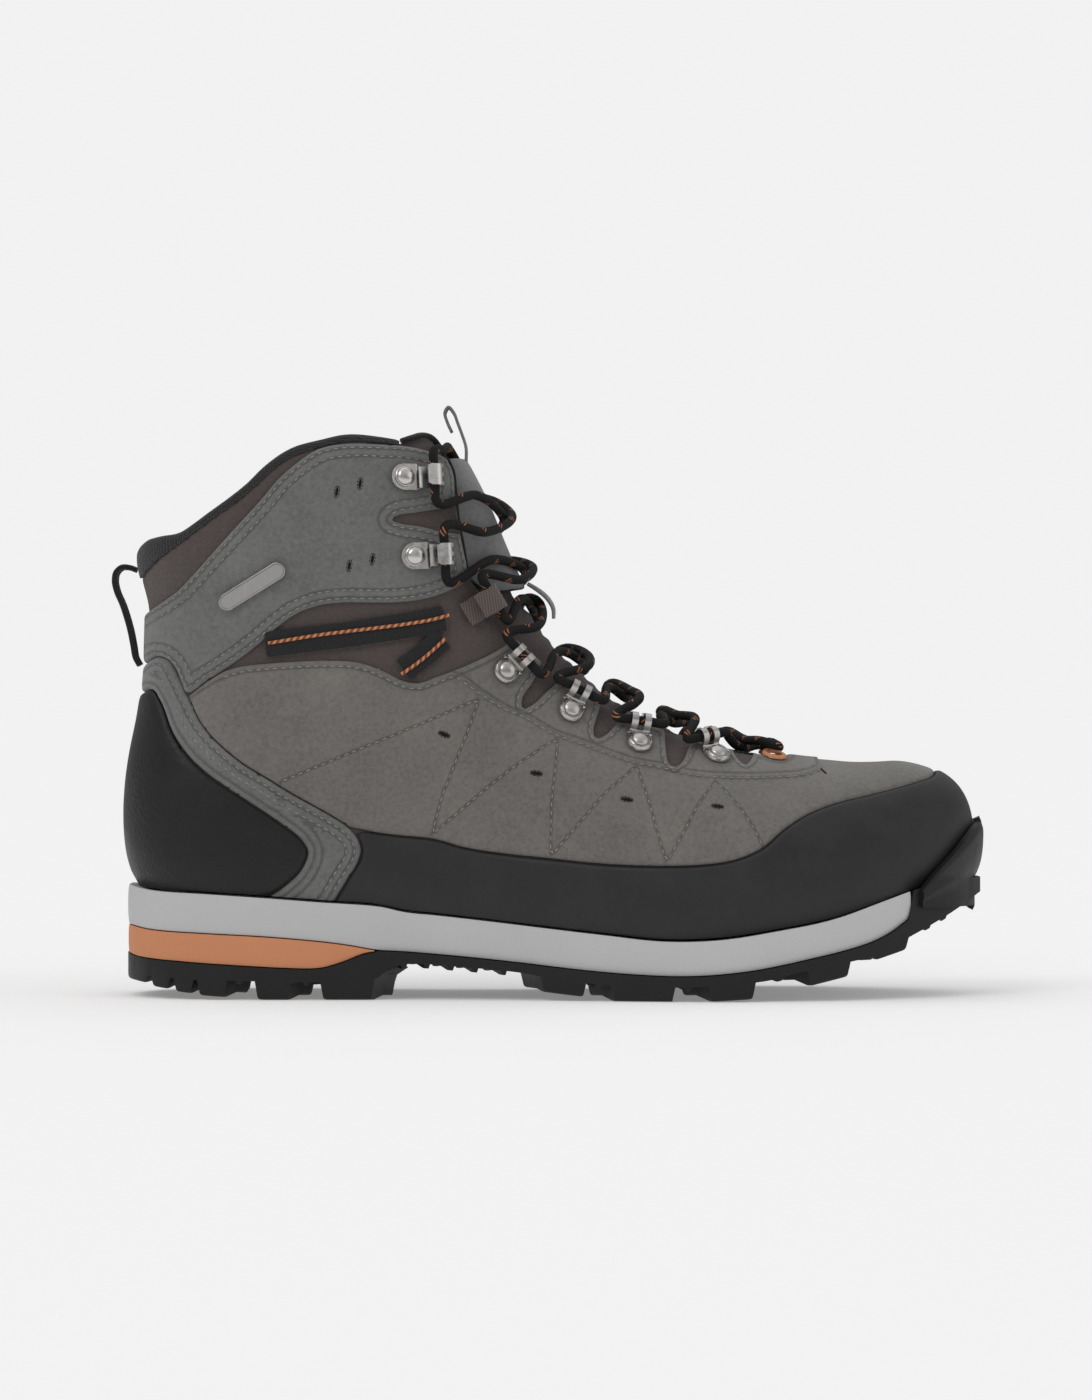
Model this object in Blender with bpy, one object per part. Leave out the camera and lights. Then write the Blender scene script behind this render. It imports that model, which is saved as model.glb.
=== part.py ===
"""A right hiking boot, EU 43. X runs from heel to toe, Z up, and the outer side of the boot is at -Y.

Lengths in the code are millimetres and are turned into metres where a mesh is made.
The upper hangs on one base surface: width(side, x, z) says how far the boot reaches sideways at a
place of its side view. Every panel is a region of that surface, given a thickness along its normals.
"""

import math

import bmesh
import bpy
from mathutils import Matrix, Vector
from mathutils.bvhtree import BVHTree

MM = 0.001
OUTER, INNER = -1, 1  # the sides of the boot: away from and next to the other foot

# Heights of the layers above the base surface.
SHELL = (-2.0, 0.0)
SUEDE = (0.4, 1.9)
RUBBER = (0.4, 2.3)
PUFF = (-3.9, -2.4)
LINING_TOP, LINING_THIN, LINING_THICK = -2.4, -4.6, -7.0
GAP = 0.3  # half of the joint between neighbouring panels
SNAP = 0.12  # a cut takes a point this near to it as it is
EDGE = GAP - SNAP - 0.01

SOLE_GAP, UPPER_GAP = 0.4, 0.9
LACE_RADIUS = 1.4
WEBBING = (0.9, 2.3)

# ---------------------------------------------------------------- tables and curves


def smooth(table, x):
    """The value at x of a smooth curve through the (x, value) pairs of the table."""
    if x <= table[0][0]:
        return table[0][1]
    if x >= table[-1][0]:
        return table[-1][1]
    i = max(k for k in range(len(table) - 1) if table[k][0] <= x)
    (x0, y0), (x1, y1) = table[i], table[i + 1]
    before = table[i - 1] if i else table[i]
    after = table[i + 2] if i + 2 < len(table) else table[i + 1]
    step = x1 - x0
    slope0 = (y1 - before[1]) / (x1 - before[0]) * step
    slope1 = (after[1] - y0) / (after[0] - x0) * step
    t = (x - x0) / step
    return (
        y0 * (2 * t**3 - 3 * t**2 + 1)
        + slope0 * (t**3 - 2 * t**2 + t)
        + y1 * (3 * t**2 - 2 * t**3)
        + slope1 * (t**3 - t**2)
    )


def through(points, per=6):
    """Points along a smooth curve through the given ones, per of them for each stretch."""
    points = [Vector(p) for p in points]
    spans = [(b - a).length for a, b in zip(points, points[1:])]
    slopes = [(points[1] - points[0]) / spans[0]]
    for i in range(1, len(points) - 1):
        before, after = spans[i - 1], spans[i]
        arriving, leaving = (points[i] - points[i - 1]) / before, (points[i + 1] - points[i]) / after
        slopes.append((arriving * after + leaving * before) / (before + after))
    slopes.append((points[-1] - points[-2]) / spans[-1])
    found = []
    for i, span in enumerate(spans):
        for k in range(per):
            t = k / per
            found.append(
                points[i] * (2 * t**3 - 3 * t**2 + 1)
                + slopes[i] * (t**3 - 2 * t**2 + t) * span
                + points[i + 1] * (3 * t**2 - 2 * t**3)
                + slopes[i + 1] * (t**3 - t**2) * span
            )
    return found + [points[-1]]


def distance(point, line):
    """How far the point is from the polyline."""
    best = 1e9
    for a, b in zip(line, line[1:]):
        along = b - a
        t = min(max((point - a).dot(along) / along.length_squared, 0), 1)
        best = min(best, (point - a - along * t).length)
    return best


def inside(point, outline):
    """Whether the point is inside the closed outline."""
    found = False
    for a, b in zip(outline, outline[1:] + outline[:1]):
        if (a.y > point.y) != (b.y > point.y):
            if point.x < (b.x - a.x) * (point.y - a.y) / (b.y - a.y) + a.x:
                found = not found
    return found


def depth(point, outline):
    """The distance to the outline's edge, positive inside it."""
    far = distance(point, outline + outline[:1])
    return far if inside(point, outline) else -far


# ---------------------------------------------------------------- the base surface

BACK = [(30, -142.5), (39.5, -144.2), (46, -147.4), (54, -149.2), (65, -149.8), (76, -149.2), (86, -147.8),
        (100, -145), (112, -143.4), (125, -142.9), (138, -142.9), (148, -145.2), (154, -146.6), (170, -149),
        (215, -152)]
TOP = through([(141, 34), (146.5, 41), (149.4, 48), (150.4, 56), (150, 63), (148, 69.5), (145, 74),
               (140.5, 77.6), (134, 80.2), (126, 81.8), (118, 81.5), (110, 81.4), (100, 82.2), (90, 83.1),
               (80, 84.8), (70, 87.6), (60, 90.8), (45, 96.7), (33, 102.5), (22, 109.3), (14, 116.5),
               (6, 124), (-1, 132.5), (-6, 141.5), (-10.5, 150.5), (-15.5, 162), (-21, 175.5), (-27, 187.5),
               (-33, 198), (-39, 208), (-48, 222)], 4)
MIDSOLE_TOP = [(-150, 39.8), (-140, 38), (-120, 37), (-100, 35.7), (-80, 34.2), (-60, 32.8), (-50, 30.7),
               (-40, 29.7), (-20, 27.5), (0, 25.2), (20, 23), (40, 21), (60, 21.5), (80, 24.5), (100, 28.5),
               (120, 35.3), (130, 38.6), (142, 41), (150, 42)]
LAST_OUTER = [(-152, 35), (-110, 36.5), (-80, 37), (-50, 36.5), (-25, 38), (0, 42), (25, 47), (50, 50.3),
              (70, 50.2), (90, 47.4), (110, 42), (125, 37.5), (140, 31.5), (152, 24)]
LAST_INNER = [(-152, 34.5), (-110, 35), (-80, 34), (-50, 31), (-25, 29.8), (0, 31.8), (25, 37.6), (50, 45.5),
              (70, 49.8), (90, 50.3), (110, 46.5), (125, 41.5), (140, 35.5), (152, 27)]
SHAFT_OUTER = [(90, 35.5), (110, 36.2), (130, 36.4), (150, 37.4), (175, 38.6), (215, 39.4)]
SHAFT_INNER = [(90, 35), (110, 36.6), (130, 36.6), (150, 37.4), (175, 38.4), (215, 39.2)]
TOP_ROUND = [(-60, 56), (0, 50), (40, 46), (80, 39), (110, 31), (130, 25), (152, 22)]
BACK_ROUND = [(40, 36), (100, 40), (150, 45)]
MIDDLE = [(40, 0), (100, 2), (150, 4.5)]
SHAFT_START, SHAFT_FULL = 48, 115
TUCK_HEIGHT, TUCK = 14, 0.045
ROUNDNESS = 2.2


def feather(x):
    """The height of the line where the upper meets the midsole."""
    return smooth(MIDSOLE_TOP, x) + UPPER_GAP


def rounded(share):
    share = min(max(share, 0), 1)
    return (1 - (1 - share) ** ROUNDNESS) ** (1 / ROUNDNESS)


def hill(x, z, x0, z0, wide, high):
    return math.exp(-(((x - x0) / wide) ** 2) - ((z - z0) / high) ** 2)


def width(side, x, z):
    last = smooth(LAST_OUTER if side == OUTER else LAST_INNER, x)
    shaft = smooth(SHAFT_OUTER if side == OUTER else SHAFT_INNER, z)
    shaft += 2.2 * hill(x, z, -60, 106, 24, 20) - 3 * hill(x, z, -118, 114, 20, 26)
    t = min(max((z - SHAFT_START) / (SHAFT_FULL - SHAFT_START), 0), 1)
    t = t * t * (3 - 2 * t)
    to_top = distance(Vector((x, z)), TOP)
    to_back = x - smooth(BACK, z)
    low = min(max((z - feather(x)) / TUCK_HEIGHT, 0), 1)
    full = (last * (1 - t) + shaft * t) * (1 - TUCK * (1 - low) ** 2)
    return full * rounded(to_top / smooth(TOP_ROUND, x)) * rounded(to_back / smooth(BACK_ROUND, z))


def place(side, x, z, height=0.0):
    """The point over (x, z) of the side view, and the outward normal there."""
    w = width(side, x, z)
    step = 0.4
    across = (width(side, x + step, z) - width(side, x - step, z)) / (2 * step)
    up = (width(side, x, z + step) - width(side, x, z - step)) / (2 * step)
    normal = Vector((-across, side, -up)).normalized()
    return Vector((x, smooth(MIDDLE, x) + side * w, z)) + normal * height, normal


# Each line of the surface's grid runs from the sole or the heel (first point) to the toe, the instep
# or the tongue (second point). The lines fan out from the toe to the top of the shaft.
FAN = [((143, None), (148.2, 45)), ((138, None), (150.4, 56)), ((131, None), (149.3, 66)),
       ((123, None), (143.2, 75.6)), ((114, None), (131, 80.9)), ((103, None), (115, 81.4)),
       ((90, None), (99, 82.3)), ((76, None), (85, 83.9)), ((60, None), (71, 87.3)),
       ((40, None), (57, 91.9)), ((18, None), (44, 97.1)), ((-8, None), (32.5, 102.8)),
       ((-38, None), (22, 109.3)), ((-74, None), (12.5, 117.9)), ((-106, None), (6.5, 123.5)),
       ((-132, None), (2.3, 128.4)),
       ((None, 42), (-1, 132.5)), ((None, 58), (-5, 139.6)), ((None, 76), (-8.5, 146.6)),
       ((None, 94), (-12.2, 154.4)), ((None, 110), (-16, 163.2)), ((None, 124), (-20, 173.1)),
       ((None, 137), (-24.3, 182.3)), ((None, 150), (-29, 191.2)), ((None, 165), (-34.6, 200.8)),
       ((None, 182), (-40.5, 210.5)), ((None, 204), (-46.5, 219.6))]
ACROSS = 8  # cells from the sole or heel to the top, on each side


def base_surface():
    """The upper's surface as triangles, with its normals, in millimetres."""
    mesh = bmesh.new()
    columns = []
    for (ax, az), (bx, bz) in FAN:
        closed = ax is None
        start = Vector((smooth(BACK, az), az)) if closed else Vector((ax, feather(ax)))
        end = Vector((bx, bz))
        column = []
        for side in (OUTER, INNER):
            row = []
            for j in range(ACROSS + 1):
                t = j / ACROSS
                spread = (1 - math.cos(math.pi * t)) / 2 if closed else math.sin(math.pi * t / 2) ** 1.15
                x, z = start.lerp(end, spread)
                on_edge = j == ACROSS or (closed and j == 0)
                w = 0.0 if on_edge else width(side, x, z)
                row.append(Vector((x, smooth(MIDDLE, x) + side * w, z)))
            column += row if side == OUTER else row[-2::-1]
        columns.append([mesh.verts.new(p) for p in column])
    for left, right in zip(columns, columns[1:]):
        for j in range(2 * ACROSS):
            corners = left[j], right[j], right[j + 1], left[j + 1]
            mesh.faces.new(corners if j < 2 * ACROSS else corners[::-1])
    bmesh.ops.remove_doubles(mesh, verts=mesh.verts, dist=0.01)
    bmesh.ops.triangulate(mesh, faces=mesh.faces, quad_method="SHORT_EDGE")
    bmesh.ops.recalc_face_normals(mesh, faces=mesh.faces)
    mesh.normal_update()
    if sum(f.normal.y * f.calc_center_median().y for f in mesh.faces) < 0:
        bmesh.ops.reverse_faces(mesh, faces=mesh.faces)
        mesh.normal_update()
    # A normal's own length is kept at 1 at the grid's points only, so layers stay parallel.
    normal = mesh.verts.layers.float_vector.new("normal")
    for v in mesh.verts:
        v[normal] = v.normal
        if abs(v.co.z - feather(v.co.x)) < 0.5:  # the lower edge spreads level, clear of the midsole
            v[normal] = Vector((v.normal.x, v.normal.y, 0)).normalized()
    return mesh


def split_along(mesh, field, level=0.0):
    """Adds edges where the field crosses the level."""
    normal = mesh.verts.layers.float_vector["normal"]
    value = {}
    for v in mesh.verts:
        here = field(v.co) - level
        value[v] = 0.0 if abs(here) < SNAP else here
    for e in list(mesh.edges):
        a, b = e.verts
        if value[a] * value[b] < 0:
            t = value[a] / (value[a] - value[b])
            co, n = a.co.lerp(b.co, t), a[normal].lerp(b[normal], t)
            _, v = bmesh.utils.edge_split(e, a, t)
            v.co, v[normal] = co, n
            value[v] = 0.0
    for f in list(mesh.faces):
        on = [v for v in f.verts if value[v] == 0.0]
        if len(on) == 2 and min(value[v] for v in f.verts) < 0 < max(value[v] for v in f.verts):
            bmesh.utils.face_split(f, on[0], on[1])
    bmesh.ops.triangulate(mesh, faces=[f for f in mesh.faces if len(f.verts) > 3])


def refine(mesh, field, reach, longest, suits):
    """Halves the longer edges within reach of the field's outline, so that a cut follows it closely."""
    middles = {e: (e.verts[0].co + e.verts[1].co) / 2 for e in mesh.edges if e.calc_length() > longest}
    edges = [e for e, p in middles.items() if suits(p) and abs(field(p)) < reach]
    bmesh.ops.subdivide_edges(mesh, edges=edges, cuts=1)
    bmesh.ops.triangulate(mesh, faces=[f for f in mesh.faces if len(f.verts) > 3])


def flat(outline):
    """A field over the side view: the depth of a point inside the outline."""
    return lambda p: depth(Vector((p.x, p.z)), outline)


# ---------------------------------------------------------------- panels


def finish(mesh, name, material, scale=MM):
    """The mesh as a named object, turned from millimetres into metres."""
    bmesh.ops.scale(mesh, vec=(scale,) * 3, verts=mesh.verts)
    data = bpy.data.meshes.new(name)
    mesh.to_mesh(data)
    mesh.free()
    data.materials.append(material)
    obj = bpy.data.objects.new(name, data)
    bpy.context.scene.collection.objects.link(obj)
    return obj


def panel(surface, keep, heights, name, material):
    """The faces whose corners all suit keep(), as a solid between two heights above the surface.

    Each height is a number or a function of the point.
    """
    mesh = surface.copy()
    normal = mesh.verts.layers.float_vector["normal"]
    kept = {v: keep(v.co) for v in mesh.verts}
    gone = [f for f in mesh.faces if not all(kept[v] for v in f.verts)]
    bmesh.ops.delete(mesh, geom=gone, context="FACES")
    under, over = [h if callable(h) else (lambda p, h=h: h) for h in heights]
    low, high = {}, {}
    solid = bmesh.new()
    for v in mesh.verts:
        low[v] = solid.verts.new(v.co + v[normal] * under(v.co))
        high[v] = solid.verts.new(v.co + v[normal] * over(v.co))
    for f in mesh.faces:
        solid.faces.new([high[v] for v in f.verts])
        solid.faces.new([low[v] for v in reversed(f.verts)])
    for e in mesh.edges:
        if len(e.link_faces) == 1:
            loop = e.link_loops[0]
            a, b = loop.vert, loop.link_loop_next.vert
            solid.faces.new([high[a], low[a], low[b], high[b]])
    bmesh.ops.triangulate(solid, faces=[f for f in solid.faces if len(f.verts) > 3])
    mesh.free()
    return finish(solid, name, material)


COLLAR = [(-152, 154), (-148, 154), (-143, 161), (-139, 162), (-130, 163.5), (-125, 166.5), (-120, 170),
          (-110, 177), (-105, 181), (-100, 186), (-95, 190), (-90, 193), (-80, 196), (-70, 198.2),
          (-60, 197.7), (-50, 196.2), (-40, 193.6), (-35, 191.5)]
THROAT = [(-35, 191.5), (-33.2, 186), (-32.2, 178), (-31, 168), (-29, 158), (-27.5, 150), (-20, 138),
          (-11.5, 127.5), (-3, 120), (5, 114), (16, 106.6), (28, 99.8), (40, 95), (51, 91.4), (63, 88.2),
          (75, 86), (84, 84.2), (88, 87)]
UPPER = through([(-175, 154)] + COLLAR + THROAT[1:], 3) + [Vector(p) for p in ((175, 87), (175, 0), (-175, 0))]
TONGUE_SIDE = [(-53, 197), (-51, 186), (-49.5, 172), (-46.5, 155), (-42, 140), (-33, 126), (-21, 114),
               (-8, 104), (6, 96), (20, 89.5), (34, 84.5), (46, 82), (56, 83), (64, 88)]
TONGUE_TOP = [(-53, 197), (-49, 198.5), (-45, 200.5), (-41, 202), (-37.5, 202), (-35.4, 200.5)]
TONGUE = (through(TONGUE_TOP, 3) + [Vector(p) for p in ((-25, 203), (70, 203), (70, 92))]
          + through(TONGUE_SIDE[::-1], 3)[:-1])

CUFF_TOP = [(-175, 134), (-150, 134.6), (-145, 135.5), (-140, 138), (-135, 141), (-130, 144.5), (-125, 149.5),
            (-120, 155), (-110, 166), (-100, 177), (-95, 183), (-90, 187.5), (-80, 194), (-70, 195.6),
            (-60, 195.4), (-50, 194.8), (-40, 192.4), (-36.5, 191)]
CUFF_FRONT = [(-36.5, 191), (-34.2, 186), (-33.2, 178), (-32, 168), (-30, 158), (-28.6, 150), (-29.6, 146.4)]
CUFF_LOW = [(-29.6, 146.4), (-35, 143.5), (-42, 141), (-52, 139.5), (-62, 139.3), (-72, 139.4), (-82, 138),
            (-90, 134.5), (-96, 129.8), (-102, 124.5), (-110, 118.5), (-120, 112), (-127.5, 107.5),
            (-129.3, 111.8), (-131.8, 117.3), (-134.5, 119.8), (-138, 120.6), (-141, 119.3), (-146, 116.6),
            (-175, 116)]
CUFF = through(CUFF_TOP, 2) + through(CUFF_FRONT, 2)[1:] + through(CUFF_LOW, 2)[1:]
STAY_EDGE = [(-127.5, 107.5), (-126, 105), (-124, 100.5), (-121, 95.5), (-117, 91), (-112, 86.5), (-106, 82),
             (-100, 78.5), (-92, 73.5), (-84, 69), (-76, 64.5), (-70, 60.5), (-67, 57), (-65.5, 53),
             (-67, 47.5), (-70, 43), (-73, 38), (-78, 30)]
STAY = through([(-175, 124), (-132, 124), (-127.5, 112)] + STAY_EDGE, 2) + [Vector((-175, 30))]
HEEL_EDGE = [(-175, 107), (-146, 107), (-139.5, 108.8), (-136.8, 105), (-132, 93.5), (-125, 84), (-120, 79.5),
             (-110, 72.5), (-100, 66), (-92, 60.5), (-87, 56.5), (-84.4, 52), (-86, 47), (-92, 40.5),
             (-99, 35.8), (-106, 30)]
HEEL = through(HEEL_EDGE, 2) + [Vector((-175, 30))]
RAND_EDGE = [(-78, 61), (-70, 60.5), (-60, 58.5), (-50, 57.3), (-40, 56.3), (-30, 53.5), (-15, 51.2), (0, 49.7),
             (20, 47.8), (38, 47.2), (52, 47.5), (65, 49.2), (75, 53.3), (82, 59), (90, 64), (100, 67.8),
             (115, 71.3), (130, 75.2), (137, 77.5), (141, 82), (143, 92)]
RAND = through(RAND_EDGE, 2) + [Vector(p) for p in ((175, 92), (175, 10), (-78, 10))]
LOWER_TOP = [(-175, 107), (-128, 107.2), (-122, 111.2), (-115, 115.2), (-108, 117.4), (-100, 118.3),
             (-90, 119), (-78, 119.4), (-66, 118.6), (-58, 115.8), (-50, 112), (-46, 111.4), (-40, 113.4),
             (-28, 118), (-20, 121.8), (-12, 127)]
LOWER = (through(LOWER_TOP, 2) + through([(-12, 127)] + [(x - 0.6, z - 0.8) for x, z in THROAT[8:]], 2)[1:]
         + [Vector(p) for p in ((96, 100), (175, 100), (175, 0), (-175, 0))])
TOE_PUFF = [Vector(p) for p in ((96, 0), (99, 40), (107, 66), (118, 100), (175, 100), (175, 0))]
STIFFENER = [Vector(p) for p in ((-175, 0), (-72, 0), (-80, 52), (-100, 74), (-122, 92), (-136, 98), (-175, 99))]

LAYER_FIELDS = {"cuff": flat(CUFF), "stay": flat(STAY), "heel": flat(HEEL), "rand": flat(RAND),
                "lower": flat(LOWER), "shell": flat(UPPER), "tongue": flat(TONGUE),
                "puff": flat(TOE_PUFF), "stiffener": flat(STIFFENER)}


def outer_layer(base, paint):
    """Suede and rubber over the textile shell, side by side."""
    field = LAYER_FIELDS
    surface = base.copy()
    refine(surface, field["cuff"], 11, 9, lambda p: p.z > 140)
    refine(surface, field["rand"], 9, 9, lambda p: p.x > 40)
    for name in ("cuff", "stay", "heel", "rand", "lower"):
        split_along(surface, field[name], GAP)
        if name != "lower":
            split_along(surface, field[name], -GAP)

    def within(p, name, *others):
        return field[name](p) > EDGE and all(field[other](p) < -EDGE for other in others)

    def rand_keep(p):
        return within(p, "rand", "stay") and p.x > -80

    panel(surface, lambda p: within(p, "cuff"), SUEDE, "cuff_suede", paint["cuff_suede"])
    panel(surface, lambda p: within(p, "heel"), RUBBER, "heel_rubber", paint["heel_rubber"])
    panel(surface, rand_keep, RUBBER, "rand", paint["rand"])
    panel(surface, lambda p: within(p, "lower", "cuff", "stay", "rand"), SUEDE, "lower_suede", paint["lower_suede"])
    surface.free()


def tongue_over(p):
    """The tongue's face lies deeper behind its front panel, where the lace's ends are tucked away."""
    t = min(max((p.z - 134) / 16, 0), 1)
    return -2.6 - 3.4 * t * t * (3 - 2 * t)


def tongue_under(p):
    return tongue_over(p) - 4.5


def lining_under(p):
    t = min(max((p.z - 95) / 50, 0), 1)
    return LINING_THIN + (LINING_THICK - LINING_THIN) * t


def inner_layers(base, paint):
    """The textile shell, and inside it the stiff pieces, the lining and the tongue."""
    field = LAYER_FIELDS
    surface = base.copy()
    refine(surface, field["shell"], 11, 9, lambda p: p.z > 140)
    split_along(surface, field["shell"])
    panel(surface, lambda p: field["shell"](p) > -SNAP, SHELL, "textile_shell", paint["textile_shell"])
    surface.free()

    surface = base.copy()
    refine(surface, field["shell"], 11, 9, lambda p: p.z > 140)
    for name in ("tongue", "puff", "stiffener"):
        split_along(surface, field[name], GAP)
        split_along(surface, field[name], -GAP)
    split_along(surface, field["shell"])

    def lining_over(p):
        stiff = field["puff"](p) > -GAP * 1.5 or field["stiffener"](p) > -GAP * 1.5
        return PUFF[0] - 0.4 if stiff else LINING_TOP

    def lining_keep(p):
        return field["tongue"](p) < -EDGE and field["shell"](p) > -SNAP

    panel(surface, lining_keep, (lambda p: min(lining_under(p), lining_over(p) - 1.4), lining_over),
          "collar_lining", paint["collar_lining"])
    panel(surface, lambda p: field["tongue"](p) > EDGE, (tongue_under, tongue_over), "tongue", paint["tongue"])
    panel(surface, lambda p: field["puff"](p) > EDGE, PUFF, "toe_puff", paint["toe_puff"])
    panel(surface, lambda p: field["stiffener"](p) > EDGE, PUFF, "heel_stiffener", paint["heel_stiffener"])
    surface.free()


# ---------------------------------------------------------------- the sole

SOLE_OUTER = [(-150.2, -4), (-149, -12), (-146, -20), (-140, -28), (-130, -35), (-115, -39.5), (-95, -41),
              (-70, -40.6), (-45, -39.8), (-20, -41.5), (5, -46), (30, -51), (52, -54), (70, -53.8),
              (90, -50.5), (108, -45), (122, -38.5), (134, -31), (144, -21.5), (151, -10.5), (154.8, -2.5)]
SOLE_INNER = [(-150.2, 4), (-149, 12), (-146, 20), (-140, 27.5), (-130, 34), (-115, 38), (-95, 38.6),
              (-70, 36.8), (-45, 33.6), (-20, 32), (5, 35), (30, 42), (52, 49.5), (70, 53.4), (80, 54),
              (95, 53), (110, 49), (122, 44), (134, 37), (144, 28), (151, 17.5), (154.8, 9)]
MIDSOLE_LOW = [(-150, 25.9), (-140, 24.4), (-120, 23.4), (-100, 22.4), (-80, 20.7), (-70, 19.4), (-60, 17.7),
               (-50, 17.1), (-30, 15.4), (-10, 13.4), (10, 11.2), (30, 9.6), (50, 9.1), (70, 10.8), (90, 14.6),
               (110, 19.4), (120, 23.6), (129, 30)]
WEDGE_LOW = [(-150, 15.8), (-145, 14.6), (-130, 13.5), (-110, 12.3), (-90, 11.3), (-80, 11.4), (-72, 13.6),
             (-65, 16.3), (-60, 17.2)]
TREAD_BASE = [(-150, 10), (-140, 8), (-125, 7), (-112, 6.8), (-90, 6.4), (-70, 6.2), (-62, 6.8), (-57, 9.8),
              (-50, 12.6), (-30, 11.6), (-8, 9.6), (2, 7.6), (13, 6.4), (22, 5.6), (50, 5.2), (75, 7.2),
              (89, 10.4), (105, 13.6), (114, 15.6), (122, 19.4), (132, 24.4), (142, 29.6), (155, 37)]
LUGS = [(-150, -142, 6.4, 5.2), (-139.5, -134, 4.2, 3.4), (-131, -125.5, 2.6, 2), (-122.5, -113.5, 1.4, 0.8),
        (-102, -91, 0, 0), (-79, -62, 0, 0), (-1.5, 12.5, 3, 1.4), (23, 43.5, 0, 0), (57, 71.5, 0, 0.8),
        (91.5, 105, 5.2, 8.4), (115, 126, 14, 17.4)]
CHANNEL, CHANNEL_WALL = 8.5, 11.5
TOE_EDGE = [(127, 35.5), (129, 39), (131, 41.2), (135, 45.5), (140, 50.5), (145, 56), (150, 60.8), (156, 62.3)]
BUMPER_START, BUMPER = 129, (3.3, 6.1)
MIDSOLE_INSET, MIDSOLE_END = 1.5, 127.5


def plank(stations, columns_of, top_of, low_of):
    """A closed bmesh: at each x a row of columns across, each with a top and a low height."""
    mesh = bmesh.new()
    rows = []
    for x in stations:
        ys = columns_of(x)
        rows.append([(mesh.verts.new((x, y, top_of(x, y))), mesh.verts.new((x, y, low_of(x, j, y))))
                     for j, y in enumerate(ys)])
    for near, far in zip(rows, rows[1:]):
        for j in range(len(near) - 1):
            mesh.faces.new((near[j][0], far[j][0], far[j + 1][0], near[j + 1][0]))
            mesh.faces.new((near[j + 1][1], far[j + 1][1], far[j][1], near[j][1]))
        mesh.faces.new((near[0][1], far[0][1], far[0][0], near[0][0]))
        mesh.faces.new((near[-1][0], far[-1][0], far[-1][1], near[-1][1]))
    for row, turn in ((rows[0], 1), (rows[-1], -1)):
        for j in range(len(row) - 1):
            mesh.faces.new([row[j][1], row[j][0], row[j + 1][0], row[j + 1][1]][::turn])
    bmesh.ops.triangulate(mesh, faces=mesh.faces)
    bmesh.ops.recalc_face_normals(mesh, faces=mesh.faces)
    return mesh


def sole_columns(inset):
    return lambda x: (smooth(SOLE_OUTER, x) + inset, -CHANNEL_WALL * share(x), -CHANNEL * share(x),
                      CHANNEL * share(x), CHANNEL_WALL * share(x), smooth(SOLE_INNER, x) - inset)


def share(x):
    """How much of the channel's width there is room for near the ends of the sole."""
    room = min(-smooth(SOLE_OUTER, x), smooth(SOLE_INNER, x))
    return min(1, max(room - 3, 1) / (CHANNEL_WALL + 2))


def lug_height(x):
    for x0, x1, z0, z1 in LUGS:
        if x0 <= x <= x1:
            return z0 + (z1 - z0) * (x - x0) / (x1 - x0)
    return None


def tread(x, column, y):
    lug = lug_height(x)
    base = smooth(TREAD_BASE, x)
    return base if lug is None or column in (2, 3) else lug


def edges_of_lugs(first, last):
    """Stations just outside and inside each lug's ends, with more where lugs are far apart."""
    draft = 0.7
    found = {first, last}
    for x0, x1, _, _ in LUGS:
        found |= {max(x0 - draft, first), max(x0, first), x1, x1 + draft}
    found |= {-146.2, 131, 136, 141, 145.5, 149.5, 152.6}
    return sorted(x for x in found if first <= x <= last)


def toe_front(z):
    """How far forward the toe reaches at a height."""
    a, b = next((a, b) for a, b in zip(TOP, TOP[1:]) if a.y <= z <= b.y)
    return a.x + (b.x - a.x) * (z - a.y) / (b.y - a.y)


def toe_bumper():
    """The rubber that climbs over the toe, as a band outside the rand."""
    mesh = bmesh.new()
    turns, levels, foot = 7, 3, 33.0
    tip = max(p.x for p in TOP)
    rings = []
    for side in (OUTER, INNER):
        sweep = range(turns + 1) if side == OUTER else range(turns - 1, -1, -1)
        for i in sweep:
            reach = math.sin(i / turns * math.pi / 2)
            edge = smooth(TOE_EDGE, BUMPER_START + (tip + 1.5 - BUMPER_START) * reach)
            ring = []
            for k in range(levels + 1):
                z = foot + (edge - foot) * k / levels
                high = max(z, 44.0)
                x = BUMPER_START + (toe_front(high) - 0.1 - BUMPER_START) * reach
                point, normal = place(side, x, high)
                if i == turns:
                    point.y, normal = smooth(MIDDLE, x), Vector((normal.x, 0, normal.z)).normalized()
                normal.z *= 0.4
                ring.append([Vector((point.x, point.y, z)) + normal.normalized() * h for h in BUMPER])
            rings.append([mesh.verts.new(r[0]) for r in ring] + [mesh.verts.new(r[1]) for r in ring[::-1]])
    for near, far in zip(rings, rings[1:]):
        for k in range(len(near)):
            mesh.faces.new((near[k], far[k], far[(k + 1) % len(near)], near[(k + 1) % len(near)]))
    mesh.faces.new(rings[0][::-1])
    mesh.faces.new(rings[-1])
    bmesh.ops.triangulate(mesh, faces=mesh.faces)
    bmesh.ops.recalc_face_normals(mesh, faces=mesh.faces)
    return mesh


def boolean(obj, other, operation):
    modifier = obj.modifiers.new(operation.lower(), "BOOLEAN")
    modifier.operation = operation
    modifier.object = other
    modifier.solver = "MANIFOLD"
    other.hide_render = True
    other.display_type = "WIRE"


SOLE_STATIONS = [-149.4, -148, -145, -139, -130, *range(-115, -69, 15), -62, -50, *range(-40, 111, 15), 116, 122,
                 MIDSOLE_END]


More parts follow.
